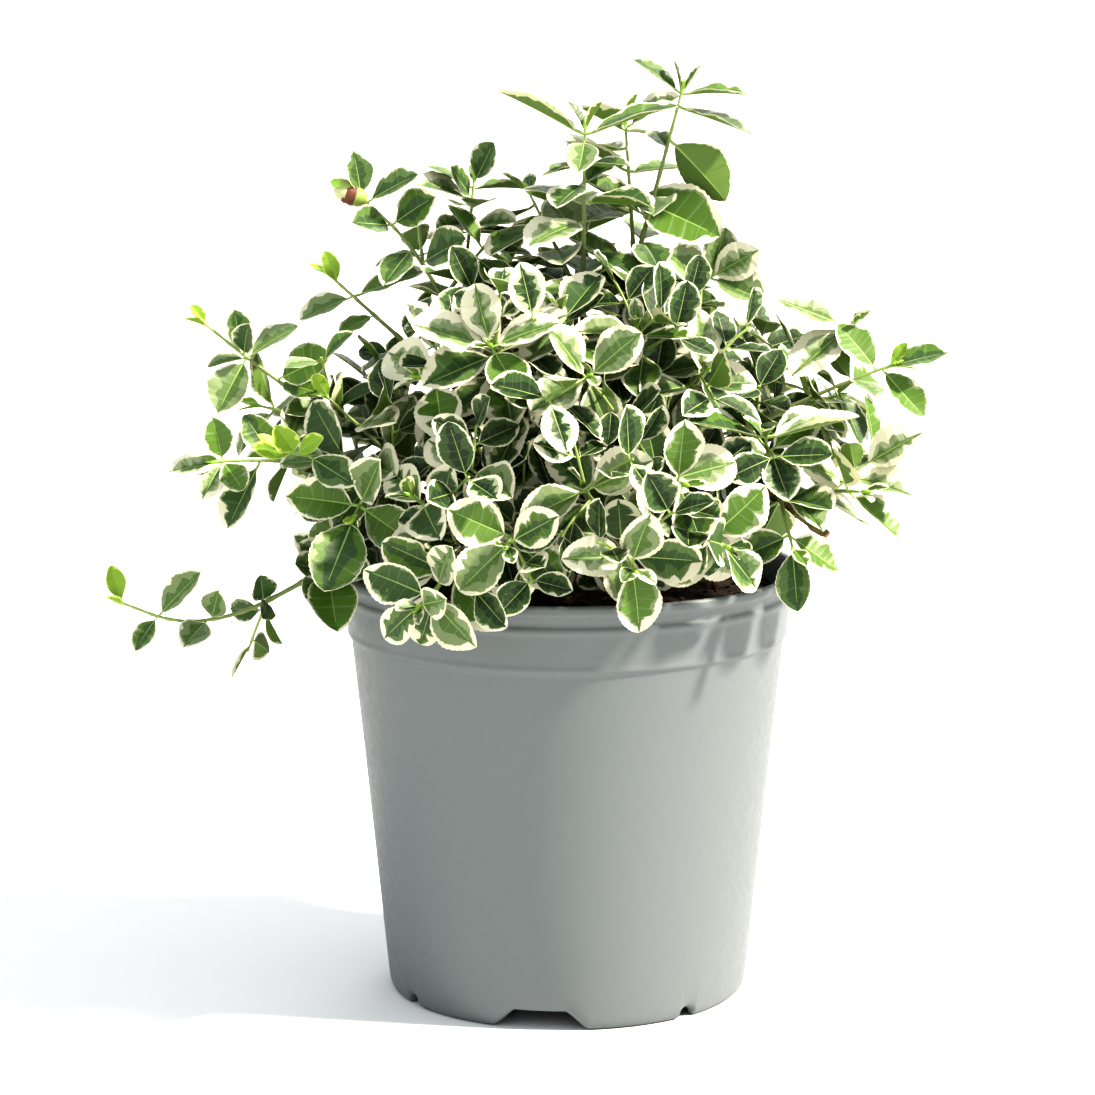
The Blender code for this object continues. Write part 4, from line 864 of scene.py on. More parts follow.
# Leaves that show plainly in the photograph, placed one by one before the rest grow. Each
# list has a shoot's name and then its joints: the joint's place and the leaves on it, by
# the tip's place, the way that the leaf faces, and its kind where it isn't a grown one.
# Places are in millimetres from the pot's axis.
PLACED = [
    ["top_right",
     [(40, 5, 328), [(25, 4, 341), (0.1, -0.35, 0.9), YOUNG],
      [(61, 3, 330), (-0.1, -0.35, 0.9), YOUNG]],
     [(38, 5, 324), [(61, -4, 317), (0.3, -0.5, 0.8)], [(26, 12, 322), (-0.2, -0.4, 0.9)]],
     [(37, 6, 311), [(56, 6, 293), (0.3, 0.9, 0.4), PLAIN]],
     [(36, 6, 308), [(31, 16, 315), (0, -0.5, 0.9)]],
     [(20, 22, 314), [(36, 16, 325), (-0.2, -0.5, 0.9)]],
     [(20, 22, 308), [(43, 10, 304), (0.1, -0.8, 0.6)]],
     [(26, 20, 291), [(48, 2, 298), (0, -0.8, 0.7)]],
     [(29, 18, 287), [(53, -2, 279), (0.1, -0.9, 0.5)]]],
    ["top_left",
     [(5, -15, 315), [(-21, -14, 330), (0.3, -0.3, 0.9)], [(33, -12, 325), (-0.2, -0.5, 0.9)]],
     [(6, -15, 313), [(4, -28, 304), (0, -0.9, 0.5)]],
     [(6, -14, 304), [(-7, -18, 302), (0, -0.3, 0.9)], [(20, -20, 305), (0.1, -0.3, 0.9)]]],
    ["centre_left",
     [(-29, -62, 246), [(-33, -58, 265), (0.1, -1, 0.2), PALE]],
     [(-29, -62, 245), [(-53, -66, 252), (0, -0.6, 0.8), PALE]],
     [(-27, -62, 245), [(-7, -66, 254), (-0.1, -0.6, 0.8), PALE]]],
    ["right_front",
     [(80, -66, 176), [(79, -72, 157), (-0.4, -0.9, 0), PLAIN]],
     [(69, -62, 215), [(45, -70, 220), (0, -0.5, 0.9)]],
     [(71, -62, 215), [(100, -60, 220), (0.1, -0.3, 0.9), PALE]]],
    ["right_low",
     [(104, -34, 199), [(121, -40, 210), (0, -0.8, 0.6), PALE]],
     [(100, -36, 194), [(119, -46, 191), (0.1, -0.6, 0.8), PALE]]],
    ["right_tip",
     [(113, -5, 230), [(134, -6, 236), (0, -0.3, 0.9)]],
     [(112, -5, 228), [(101, 0, 243), (0.2, -0.7, 0.7)]]],
    ["right_upper",
     [(53, 4, 261), [(56, 2, 277), (0.2, -0.9, 0.3)]],
     [(53, 4, 260), [(66, -2, 271), (0.4, -0.8, 0.4)], [(70, -6, 255), (0.1, -0.7, 0.7)]],
     [(52, 2, 260), [(38, -10, 274), (-0.2, -0.8, 0.5)]],
     [(51, 2, 257), [(48, -12, 246), (0.2, -0.9, 0.4)]]],
    ["right_high",
     [(102, 4, 244), [(79, 0, 253), (0.3, -0.7, 0.7)], [(84, -6, 230), (-0.2, -0.7, 0.7)]],
     [(102, 4, 243), [(117, 0, 234), (0.1, -0.6, 0.8)]]],
    ["right_tip",
     [(105, -4, 221), [(94, 0, 234), (0.4, 0.8, 0.3), PLAIN]],
     [(114, -5, 228), [(127, -12, 214), (0.3, -0.8, 0.5)]]],
    ["right_low",
     [(98, -40, 195), [(83, -56, 203), (0, -0.8, 0.6)]],
     [(104, -36, 194), [(100, -40, 204), (0.1, 0.9, 0.3), PLAIN]]],
    ["left_mid",
     [(-117, -14, 234), [(-119, -16, 249), (0.3, -0.9, 0.3)],
      [(-110, -18, 249), (-0.3, -0.9, 0.3)]],
     [(-117, -14, 233), [(-102, -10, 244), (-0.2, -0.4, 0.9)],
      [(-125, -26, 218), (-0.2, -0.9, 0.4)], [(-131, -10, 230), (-0.1, -0.3, 0.9)]],
     [(-106, -13, 225), [(-88, -18, 235), (-0.1, -0.8, 0.6)]],
     [(-105, -13, 224), [(-91, -26, 229), (-0.1, -0.6, 0.8)]],
     [(-95, -12, 220), [(-98, -26, 209), (0.2, -0.9, 0.3)]]],
    ["left_low",
     [(-122, -40, 203), [(-125, -42, 217), (0.2, -0.9, 0.3)]],
     [(-122, -40, 201), [(-139, -42, 198), (0, -0.6, 0.8), PALE],
      [(-115, -50, 194), (0.1, -0.9, 0.4)], [(-128, -48, 191), (0, -0.9, 0.4), PALE]],
     [(-109, -36, 197), [(-121, -40, 177), (-0.5, -0.6, 0.4)]],
     [(-104, -34, 201), [(-113, -34, 215), (0.1, -0.8, 0.5)]]],
    ["left_bud",
     [(-97, -50, 196), [(-106, -52, 210), (0.3, -0.9, 0.3), YOUNG],
      [(-99, -54, 211), (-0.1, -0.9, 0.3), YOUNG]],
     [(-97, -50, 195), [(-93, -50, 207), (-0.4, -0.8, 0.4), YOUNG]],
     [(-93, -48, 190), [(-107, -54, 197), (0.2, -0.8, 0.5)],
      [(-76, -56, 196), (-0.1, -0.7, 0.7)]],
     [(-82, -48, 188), [(-66, -58, 211), (-0.3, -0.9, 0.3)]],
     [(-80, -56, 187), [(-83, -74, 165), (-0.05, -0.95, 0.25), PLAIN]]],
    ["left_trail",
     [(-159, -35, 149), [(-163, -35, 161), (0.4, -0.9, 0.1), YOUNG]],
     [(-147, -36, 143), [(-155, -38, 133), (-0.4, -0.8, 0.3)]],
     [(-146, -36, 144), [(-133, -34, 159), (-0.4, -0.6, 0.6)]],
     [(-128, -36, 146), [(-137, -46, 136), (0, -0.8, 0.5)]],
     [(-127, -36, 146), [(-123, -42, 158), (0.1, -0.8, 0.5)]],
     [(-109, -36, 153), [(-109, -40, 165), (0.4, -0.9, 0.1)]],
     [(-108, -36, 153), [(-109, -40, 143), (0.4, -0.9, 0.1)]],
     [(-94, -38, 158), [(-93, -50, 172), (0.2, -0.9, 0.4)]],
     [(-93, -38, 158), [(-82, -56, 147), (0.1, -0.8, 0.5)]],
     [(-93, -38, 157), [(-95, -50, 151), (-0.1, -0.9, 0.4)]]],
    ["left_high",
     [(-85, 5, 257), [(-87, 4, 268), (0.4, -0.9, 0.1), YOUNG]],
     [(-81, 5, 252), [(-98, 0, 247), (0.1, -0.35, 0.9)], [(-59, 2, 262), (-0.1, -0.35, 0.9)]],
     [(-76, 4, 247), [(-61, -4, 256), (0.2, -0.9, 0.4)]],
     [(-75, 4, 243), [(-85, -4, 242), (0.1, -0.4, 0.9)]]],
    ["upper_left",
     [(-74, -5, 293), [(-76, -6, 308), (0.5, -0.85, 0)]],
     [(-70, -5, 292), [(-54, -10, 301), (0.1, -0.5, 0.85)]],
     [(-58, -4, 287), [(-72, -14, 283), (0, -0.85, 0.5)], [(-46, -16, 295), (0, -0.85, 0.5)]],
     [(-50, -3, 277), [(-62, -14, 267), (-0.2, -0.8, 0.6)]],
     [(-46, -3, 272), [(-36, -18, 279), (0, -0.8, 0.6)]],
     [(-34, -4, 296), [(-46, -6, 307), (0.2, -0.8, 0.6)]],
     [(-34, 12, 296), [(-27, 10, 309), (-0.5, -0.8, 0.2)]],
     [(-33, 10, 290), [(-53, 6, 296), (0, -0.4, 0.9), PALE]],
     [(-32, 6, 282), [(-45, 0, 281), (0, -0.7, 0.7)]],
     [(-32, 6, 280), [(-17, 0, 284), (0, -0.5, 0.8), PALE]],
     [(-31, -4, 268), [(-21, -16, 261), (0, -0.8, 0.6)]]],
]


def leaf_matrix(place, along, face, length):
    """Puts a leaf's stalk end at place, pointing along, with its upper side to face."""
    along = along.normalized()
    face = (face - along * face.dot(along)).normalized()
    side = along.cross(face)
    turn = Matrix((side, along, face)).transposed()
    return Matrix.Translation(place) @ turn.to_4x4() @ Matrix.Scale(length, 4)


def leaf_room(matrix, start=0.0, swell=0.0):
    """The room a leaf needs from its share start outwards, swollen by shares of its
    length, as points: its two ends, its two sides, and the middle above and below."""
    ring = [(0, 0)] + list(LEAF_ROOM) + [(0, 1)]
    ring += [(-half, along) for half, along in reversed(LEAF_ROOM)]
    points = []
    for half, along in ring:
        across = half * (LEAF_WIDTH + 2 * swell)
        lift = 2 * abs(half) * LEAF_FOLD
        points.append((across, start + (1 - start) * along * (1 + swell), lift))
    middle = start + (1 - start) * LEAF_MIDDLE
    points += [(0, middle, LEAF_THICKNESS + swell), (0, middle, -swell)]
    return [matrix @ Vector(point) for point in points]


def room_tree(points):
    """A search tree of a leaf's room: a fan above its rim and one below."""
    rim = len(points) - 2
    faces = [(i, (i + 1) % rim, rim) for i in range(rim)]
    faces += [((i + 1) % rim, i, rim + 1) for i in range(rim)]
    return BVHTree.FromPolygons(points, faces)


def clears_pot(points):
    """True if every point is above the rim or outside it, and above the floor."""
    reach = RIM_RADIUS + POT_CLEARANCE
    return all(point.z > POT_HEIGHT + POT_CLEARANCE
               or point.z > 0 and math.hypot(point.x, point.y) > reach
               for point in points)


def rod_tree(one, two, radius):
    """A straight three-sided rod as a search tree."""
    direction = (two - one).normalized()
    ring = [outward(direction, angle) * radius
            for angle in (0, 2 * math.pi / 3, 4 * math.pi / 3)]
    points = [one + r for r in ring] + [two + r for r in ring]
    faces = [(0, 1, 2), (3, 5, 4), (0, 1, 4, 3), (1, 2, 5, 4), (2, 0, 3, 5)]
    return BVHTree.FromPolygons(points, faces)


class Neighbours:
    """Everything placed so far, for finding what a new twig or leaf would touch."""

    def __init__(self):
        self.centres, self.radii, self.trees, self.owners = [], [], [], []

    def add(self, centre, radius, tree, owner):
        """Adds one shape, with a ball round it that tells at once what is far away."""
        self.centres.append(tuple(centre))
        self.radii.append(radius)
        self.trees.append(tree)
        self.owners.append(owner)

    def add_rods(self, places, radii, owner):
        """Adds the rods along places. The guard makes them a little thicker."""
        for one, two, radius in zip(places, places[1:], radii):
            self.add((one + two) / 2, (two - one).length / 2 + radius,
                     rod_tree(one, two, radius * ROD_SWELL + GUARD / 2), owner)

    def touched(self, centre, radius, tree, wanted):
        """True if tree meets anything near it whose owner passes wanted."""
        away = np.linalg.norm(np.array(self.centres) - np.array(centre), axis=1)
        for i in np.nonzero(away < np.array(self.radii) + radius)[0]:
            if wanted(self.owners[i]) and tree.overlap(self.trees[i]):
                return True
        return False


def jitter(rng, most):
    """A small random step, up to most each way."""
    return Vector([rng.uniform(-most, most) for _ in range(3)])


class Growth:
    """The rods and leaves of the whole crown. A rod is (places, foot and tip radius, the
    distances of its joints, its order: 0 main stem, 1 side stem, 2 twig, 3 fine twig)."""

    def __init__(self):
        self.near, self.rods, self.leaves = Neighbours(), [], []

    def add_rod(self, mass, places, foot, joints, order):
        """Adds a stem or a twig along places, thinning out from its foot."""
        last = len(places) - 1
        radii = [foot + (STEM_TIP - foot) * i / last for i in range(last + 1)]
        self.rods.append((mass, places, foot, joints, order))
        self.near.add_rods(places, radii, mass)

    def add_leaf(self, mass, place, along, face, length, rng, kind, guard=GUARD,
                 first=FIRST_WOBBLE):
        """Adds a leaf if it touches nothing, turned and made smaller a little a try."""
        for attempt in range(LEAF_TRIES):
            wobble = first + TRY_WOBBLE * attempt
            aim = along + jitter(rng, wobble)
            size = length * (1 - TRY_SHRINK * attempt)
            matrix = leaf_matrix(place, aim, face, size)
            centre, reach = matrix @ Vector((0, LEAF_MIDDLE, 0)), LEAF_REACH * size
            whole = leaf_room(matrix, 0.0, guard / size)
            if not clears_pot(whole):
                continue
            if self.near.touched(centre, reach, room_tree(whole), lambda own: own != mass):
                continue
            blade = room_tree(leaf_room(matrix, STALK_SHARE, guard / size))
            if self.near.touched(centre, reach, blade, lambda own: own == mass):
                continue
            self.leaves.append(Leaf(mass, matrix, size, kind))
            self.near.add(centre, reach, room_tree(leaf_room(matrix)), mass)
            return


def node_distances(low, high):
    """Where the pairs of leaves sit along a shoot, closer together towards its tip."""
    found, distance = [], low + FIRST_NODE
    while distance < high:
        found.append(distance)
        share = (distance - low) / (high - low)
        distance += INTERNODE * (1 - TIP_CROWDING * share)
    return found


def clothe(growth, shoot, leaf, path, low, high, turn, rng, budded):
    """Pairs of leaves along a shoot, each pair a quarter turn from the last."""
    for distance in node_distances(low, high):
        place, axis = path.at(distance)
        share = (distance - low) / (high - low)
        lift = math.radians(LIFT_OLD + (LIFT_YOUNG - LIFT_OLD) * share**2 + shoot.lift)
        pull = AXIS_PULL + TIP_PULL * share**2 * (1 - shoot.level)
        size = leaf * rng.uniform(*LEAF_SPREAD) * min(1.0, TIP_SHRINK - share)
        for half in (0, math.pi):
            out = outward(axis, turn + half + rng.uniform(-TURN_SPREAD, TURN_SPREAD))
            along = out * math.cos(lift) + axis * math.sin(lift)
            along -= UP * NOD * max(0, out.dot(LIGHT_SIDE))
            face = (axis * pull + LIGHT_PULL + UP * shoot.level
                    + (place - CROWN_HEART).normalized() * OUTWARD_PULL
                    + jitter(rng, FACE_SPREAD))
            growth.add_leaf(shoot.name, place, along, face, size, rng, GROWN)
        turn += math.pi / 2
    if not budded:
        return
    end, axis = path.at(path.length)
    for half in (0, math.pi):
        out = outward(axis, turn + half)
        growth.add_leaf(shoot.name, end - axis * MM, axis * 1.2 + out * 0.6,
                        UP + axis * 0.3 - out * 0.4, leaf * BUD_LEAF, rng, YOUNG)


def free_twig(growth, place, axis, angle, reach, habit):
    """A short twig from a place on a stem, or None where it would touch something. habit
    is how much it points outward, onward and up, its bow and its steps, how far from its
    foot the guarded part begins, and the guard round it."""
    out, onward, up, bow, steps, bare, guard = habit
    aim = (outward(axis, angle) * out + axis * onward + UP * up).normalized()
    twig = bowed_path(place, place + aim * reach, (0, bow * reach), steps)
    rod = rod_tree(twig.at(bare)[0], twig.points[-1], STEM_TIP + guard)
    centre = (place + twig.points[-1]) / 2
    if growth.near.touched(centre, reach / 2, rod, lambda own: True):
        return None
    return twig


def grow_twigs(growth, shoot, path, low, rng):
    """Side twigs from the lower joints of a shoot, each with a few pairs of leaves."""
    for distance in node_distances(low, path.length):
        if rng.random() > TWIG_CHANCE or distance > TWIG_REACH * path.length:
            continue
        place, axis = path.at(distance + TWIG_START)
        angle, reach = rng.uniform(0, 2 * math.pi), rng.uniform(*TWIG_LENGTH)
        twig = free_twig(growth, place, axis, angle, reach, TWIG_HABIT)
        if twig is None:
            continue
        growth.add_rod(shoot.name, twig.points, TWIG_FOOT,
                       node_distances(0.0, twig.length), 2)
        clothe(growth, shoot, shoot.leaf * TWIG_LEAF, twig, 0.0, twig.length, angle, rng,
               False)


def add_placed(growth, leaders):
    """The placed leaves, each from the nearest point of its own shoot's stems."""
    rows = [(name, joint, *leaf, GROWN) for name, *joints in PLACED
            for joint, *leaves in joints for leaf in leaves]
    for number, row in enumerate(rows):
        name, joint, tip, face, kind = row[:5]
        joint, tip = Vector(metres(joint)), Vector(metres(tip))
        places = [path.at(stop)[0] for shoot, path, low in leaders if shoot.name == name
                  for stop in np.linspace(0, path.length, JOINT_STOPS)]
        start = min(places, key=lambda place: (place - joint).length)
        growth.add_leaf(name, start, (tip - start).normalized(), Vector(face),
                        (tip - joint).length * FORESHORTENED,
                        random.Random(SEED * 4000 + number), kind, first=0.0)


def in_core(place):
    """True inside the heart of the crown, well within the reach of the leading shoots."""
    return sum(((p - m) / r) ** 2 for p, m, r in zip(place, CORE_MIDDLE, CORE_REACH)) < 1


def fill_finely(growth, mass, path, low, leaf, rng):
    """Short fine twigs with smaller leaves, wherever the heart of the crown has room."""
    for distance in node_distances(low, path.length):
        place, axis = path.at(distance + FINE_START)
        if not in_core(place):
            continue
        angle, reach = rng.uniform(0, 2 * math.pi), rng.uniform(*FINE_LENGTH)
        twig = free_twig(growth, place, axis, angle, reach, FINE_HABIT)
        if twig is None:
            continue
        before = len(growth.leaves)
        joints = [share * twig.length for share in FINE_JOINTS]
        for order, stop in enumerate(joints):
            node, onward = twig.at(stop)
            for half in (0, math.pi):
                out = outward(onward, angle + order * math.pi / 2 + half)
                face = (LIGHT_PULL + (node - CROWN_HEART).normalized() * OUTWARD_PULL
                        + jitter(rng, FINE_SPREAD))
                growth.add_leaf(mass, node, out * 0.9 + onward * 0.5, face, leaf, rng,
                                FINE, FINE_GUARD)
        if len(growth.leaves) > before:
            growth.add_rod(mass, twig.points, TWIG_FOOT * FINE_THINNER, joints, 3)


def rod_steps(length):
    """How many straight rods stand for a stem of a length."""
    return max(3, round(length / ROD_STEP))


def plan_foliage():
    """Works out every stem, twig and leaf. Nothing placed later touches what is there."""
    growth = Growth()
    for name, limb in limbs.items():
        radii = [limb.radius(distance) for distance in limb.path.reach]
        growth.near.add_rods(limb.path.points, radii, "bough_" + name)
    leaders = []
    for shoot in SHOOTS:
        if shoot.name not in stems:
            continue
        path, low, high = stems[shoot.name]
        main = Path(path.part(low, high, rod_steps(high - low)))
        growth.add_rod(shoot.name, main.points, STEM_FOOT, node_distances(0, main.length), 0)
        leaders.append((shoot, main, 0.0))
        for order, tip in enumerate(shoot.tips[1:], 1):
            begin = main.at((SIDES_FROM + SIDES_APART * order) * main.length)[0]
            reach = (Vector(tip) - begin).length
            side = bowed_path(begin, Vector(tip), (SIDE_BOW * reach, 0), rod_steps(reach))
            growth.add_rod(shoot.name, side.points, SIDE_FOOT,
                           node_distances(SIDE_BARE, side.length), 1)
            leaders.append((shoot, side, SIDE_BARE))
    add_placed(growth, leaders)
    for i, (shoot, path, low) in enumerate(leaders):
        rng = random.Random(SEED * 1000 + i)
        high = path.length - (shoot.clear if low == 0 else 0)
        clothe(growth, shoot, shoot.leaf, path, low, high, rng.uniform(0, math.pi), rng,
               True)
    for i, (shoot, path, low) in enumerate(leaders):
        grow_twigs(growth, shoot, path, low, random.Random(SEED * 2000 + i))
    for step, share in enumerate(FINE_LEAF):
        for i, (shoot, path, low) in enumerate(leaders):
            fill_finely(growth, shoot.name, path, low, shoot.leaf * share,
                        random.Random(SEED * 3000 + step * 100 + i))
    return growth, leaders


growth, leaders = plan_foliage()


# Stems and twigs
# The young wood that carries the leaves: smooth, round and green, brownish low down,
# thicker at each joint where a pair of leaves sits.
STEM_STEP = 1.6 * MM
STEM_BARK = (9, 0.05, 900)
MAIN_OVERLAP = 2 * MM
BROWN_UP_TO = 0.16
GREEN_UP_TO = 0.8
ORDER_YOUTH = 0.25
BROWN_STEM, GREEN_STEM, FRESH_STEM = range(3)


def smooth_line(points):
    """Rounds the corners of a coarse line, keeping its ends."""
    for _ in range(2):
        softened = [points[0]]
        for one, two in zip(points, points[1:]):
            softened += [one.lerp(two, 0.25), one.lerp(two, 0.75)]
        points = softened + [points[-1]]
    return Path(points)


stem_shells = []
for mass, places, foot, joints, order in growth.rods:
    start, shift = places[0], 0.0
    if order == 0:
        start = start - (places[1] - start).normalized() * MAIN_OVERLAP
        shift = MAIN_OVERLAP
    line = smooth_line([start] + list(places[1:]))
    spots = even_places(line, 0, line.length, STEM_STEP)
    count = len(spots) - 1
    radii = [foot + (STEM_TIP - foot) * i / count for i in range(count + 1)]
    if order == 0:
        radii[0] = BOUGH_TIP
        radii[1] = (BOUGH_TIP + STEM_FOOT) / 2
    points, faces = sleeve(spots, radii, *STEM_BARK, [joint + shift for joint in joints])
    youth = [face / len(faces) + ORDER_YOUTH * order for face in range(len(faces))]
    tones = [BROWN_STEM if young < BROWN_UP_TO else
             GREEN_STEM if young < GREEN_UP_TO else FRESH_STEM for young in youth]
    stem_shells.append((points, faces, tones))
stem_finishes = [
    make_finish("brown_stem", (0.145, 0.115, 0.052), (0.5, 0.7), 1 * MM, 0.06 * MM, 0.4),
    make_finish("green_stem", (0.160, 0.205, 0.072), (0.4, 0.6), 1 * MM, 0.04 * MM, 0.45),
    make_finish("fresh_stem", (0.215, 0.300, 0.085), (0.38, 0.55), 1 * MM, 0.03 * MM, 0.45),
]
add_piece("stems_and_twigs", joined_mesh("stems_and_twigs", stem_shells),
          stem_finishes, 60)


# Leaves
# Leathery oval leaves, each a closed thin blade folded a little at its rib. A green heart
# with paler side veins lies in an uneven cream margin. The inner leaves are darker, in part
# the darker green of older leaves and in part painted shade for the crown's heart.
# The undersides are a paler green and cream, brightened in part as painted light shining
# through. Lengths are shares of the leaf's. They are joined by the side of the crown they are
# on.
BLADE_STATIONS = 26
HALF_WIDTH = 0.315
WIDTH_SPREAD = (0.88, 1.12)
YOUNG_WIDTH = 0.8
BELLY = (0.48, 0.58)
BASE_POWER = (0.60, 0.88)
TIP_POWER = (0.42, 0.68)
TIP_HALF = 0.004
FOLD = (0.14, 0.42)
CURL = (-0.02, 0.13)
TWIST = 0.12
SWAY = 0.035
WAVE_HEIGHT = (0.006, 0.020)
WAVE_RATE = (1.2, 2.6)
QUILT = 0.006
RIB_GROOVE = 0.012
RIB_KEEL = 0.010
STALK = 0.11
STALK_STATIONS = (0.0, 0.07)
STALK_HALF = 0.021
BLADE_THICKNESS = 0.014
VEIN_SLANT = 0.11
TEETH = 0.0065
TOOTH_SPREAD = (0.6, 1.2)
LEAST_HALF = 0.02
MARGIN = (0.026, 0.070)
LEAST_MARGIN = 0.012
MARGIN_WANDER = 0.6
TIP_MARGIN = 0.15
TONGUE_MARGIN = 0.15
PALE_MARGIN = (0.02, 0.10)
PALE_WANDER = 0.3
CREAM_FROM = (0.16, 0.97)
# Fine inner leaves get half the cream margin, which also darkens the crown's heart as painted
# shade.
KIND_MARGINS = {PLAIN: 0.35, FINE: 0.5}
GREYNESS = (0.0, 0.30)
PALE_GREYNESS = (0.25, 0.55)
LEAST_GREYNESS = 0.03
GREY_FROM = (0.13, 0.95)
HEART_WANDER = 0.22
TONGUES = (1, 5)
TONGUE_FROM = 6
TONGUE_HALF = (1.4, 3.0)
RIB_HALF = 0.010
RIB_SHARE = (0.02, 0.12)
RIB_END = 0.8
GREY_RIM_FROM = -0.6
DRIFT_HEIGHT = (0.3, 1)
DRIFT_LENGTH = (5, 17)
DRIFT_SCALE = 1.6
DRIFT_NOISE = 0.06
WHOLE_TURN = (0, 6.3)
(DARK, MID, GREY, CREAM, RIB, UNDER_WITH_GLOW, UNDER_CREAM_WITH_GLOW, LIME, LIME_PALE, MILKY, OLD_AND_SHADE,
 FRESH, DARK_VEIN, VEIN) = range(14)
LEAF_TONES = (
    ("leaf_dark", (0.038, 0.077, 0.024), (0.36, 0.50)),
    ("leaf_mid", (0.080, 0.138, 0.042), (0.36, 0.50)),
    ("leaf_grey", (0.165, 0.220, 0.108), (0.42, 0.56)),
    ("leaf_cream", (0.565, 0.560, 0.435), (0.46, 0.60)),
    ("leaf_rib", (0.23, 0.34, 0.10), (0.46, 0.58)),
    # Underside tones: the paler underside, brightened and yellowed as painted light shining
    # through the leaf.
    ("leaf_under", (0.108, 0.180, 0.042), (0.54, 0.68)),
    ("leaf_under_cream", (0.54, 0.55, 0.36), (0.54, 0.68)),
    ("leaf_lime", (0.180, 0.300, 0.034), (0.42, 0.56)),
    ("leaf_lime_pale", (0.40, 0.48, 0.13), (0.44, 0.58)),
    ("leaf_milky", (0.27, 0.325, 0.20), (0.44, 0.58)),
    # Near-black tone of the inner leaves: partly the darker green of older leaves, partly
    # painted shade for the crown's heart.
    ("leaf_old", (0.017, 0.034, 0.013), (0.42, 0.56)),
    ("leaf_fresh", (0.072, 0.142, 0.022), (0.36, 0.50)),
    ("leaf_dark_vein", (0.060, 0.108, 0.038), (0.40, 0.54)),
    ("leaf_vein", (0.106, 0.172, 0.062), (0.40, 0.54)),
)
HEARTS = ((DARK, DARK), (DARK, FRESH), (DARK, MID), (FRESH, FRESH), (MID, GREY))
LIME_SHOOTS = ("left_trail", "left_mid", "left_bud", "left_high", "right_tip")
LEAF_GROWTH = 1.04
LEVEL_ABOVE = {"right_front": (212 * MM, 212 * MM)}
LEVEL_AT_TOP = (290 * MM, 309 * MM)
LEVEL_FACING = 0.7
LEVELLED, LAID_FLAT = 0.5, 0.15
SIDES_OF_CROWN = {
    "leaves_top": ("top_right", "top_left", "right_upper", "centre"),
    "leaves_left": ("upper_left", "left_mid", "left_trail", "left_high", "left_low"),
    "leaves_front": ("front_left", "front_mid", "front_mid_left", "front_right", "left_bud"),
    "leaves_middle": ("centre_left", "centre_right", "right_high", "right_front"),
    "leaves_right": ("right_tip", "right_low", "back_right", "back_right_high"),
    "leaves_back": ("back_left", "back_high", "back_low", "back_mid"),
}
PALENESS = collections.defaultdict(lambda: 0.10, {
    "centre_left": 0.34, "right_low": 0.42, "right_front": 0.05, "right_tip": 0.16,
    "left_mid": 0.04, "left_high": 0.05, "upper_left": 0.04, "top_right": 0.06,
})
THIN_MARGINS = {"left_trail": 0.45, "left_mid": 0.45, "left_high": 0.45, "left_low": 0.5,
                "left_bud": 0.5, "upper_left": 0.5, "right_tip": 0.5, "back_high": 0.6,
                "top_right": 0.65, "top_left": 0.65, "right_upper": 0.65}
VEIN_TONES = {OLD_AND_SHADE: DARK, DARK: DARK_VEIN, MID: VEIN, FRESH: VEIN}
VEIN_EVERY = 4
VEIN_WIDTH = 0.42
vein_rows = np.arange(BLADE_STATIONS - 1) % VEIN_EVERY == 2
STATION_PLACES = np.cumsum(np.concatenate(([0.0], np.where(vein_rows, VEIN_WIDTH, 1.0))))
STATION_PLACES = STATION_PLACES / STATION_PLACES[-1]
COLUMNS = 6
TOP_ROW = 2 * COLUMNS - 1
UNDER_ROW = 5
STATIONS = BLADE_STATIONS + len(STALK_STATIONS)


def leaf_faces():
    """The faces of a leaf, which are the same for every leaf: quads of its upper side,
    then of its under side, then its two ends. Each is a list of point numbers."""
    top = np.arange(STATIONS * TOP_ROW).reshape(STATIONS, TOP_ROW)
    below = top.size + np.arange(STATIONS * UNDER_ROW).reshape(STATIONS, UNDER_ROW)
    under = np.hstack((top[:, :1], below, top[:, -1:]))
    upper_quads = (top[:-1, :-1], top[:-1, 1:], top[1:, 1:], top[1:, :-1])
    under_quads = (under[:-1, :-1], under[1:, :-1], under[1:, 1:], under[:-1, 1:])
    faces = [*np.stack(upper_quads, axis=2).reshape(-1, 4),
             *np.stack(under_quads, axis=2).reshape(-1, 4)]
    for i, turn in ((0, -1), (-1, 1)):
        faces.append(np.concatenate((top[i], below[i, ::-1]))[::turn])
    return faces


def drift(draw, count):
    """A smooth run of numbers between about -1 and 1 that wanders along a leaf."""
    along = np.arange(count)
    run = sum(draw.uniform(*DRIFT_HEIGHT)
              * np.sin(2 * np.pi * along / draw.uniform(*DRIFT_LENGTH)
                       + draw.uniform(*WHOLE_TURN)) for _ in range(3))
    return run / DRIFT_SCALE + draw.normal(0, DRIFT_NOISE, count)


def tongues(draw, count, most):
    """A run that is 0 but for a few pointed tongues, up to most high."""
    along, run = np.arange(count), np.zeros(count)
    for _ in range(draw.integers(*TONGUES)):
        middle, half = draw.uniform(TONGUE_FROM, count - 1), draw.uniform(*TONGUE_HALF)
        run = np.maximum(run, most * draw.random() * np.clip(
            1 - np.abs(along - middle) / half, 0, 1))
    return run


def leaf_outline(draw, kind):
    """The half width of a leaf at each of its stations, and how far along its edge is."""
    width = HALF_WIDTH * draw.uniform(*WIDTH_SPREAD) * (YOUNG_WIDTH if kind == YOUNG else 1)
    belly = draw.uniform(*BELLY)
    base_power, tip_power = draw.uniform(*BASE_POWER), draw.uniform(*TIP_POWER)
    edge = STATION_PLACES + VEIN_SLANT * np.sin(np.pi * STATION_PLACES)
    edge = edge / edge[-1]
    toward_base = np.sin(np.pi / 2 * np.clip(edge / belly, 0, 1)) ** base_power
    toward_tip = np.cos(np.pi / 2 * np.clip((edge - belly) / (1 - belly), 0, 1)) ** tip_power
    half = width * np.where(edge < belly, toward_base, toward_tip)
    least = np.where(STATION_PLACES < 0.5, STALK_HALF, TIP_HALF)
    return np.maximum(half, least), edge


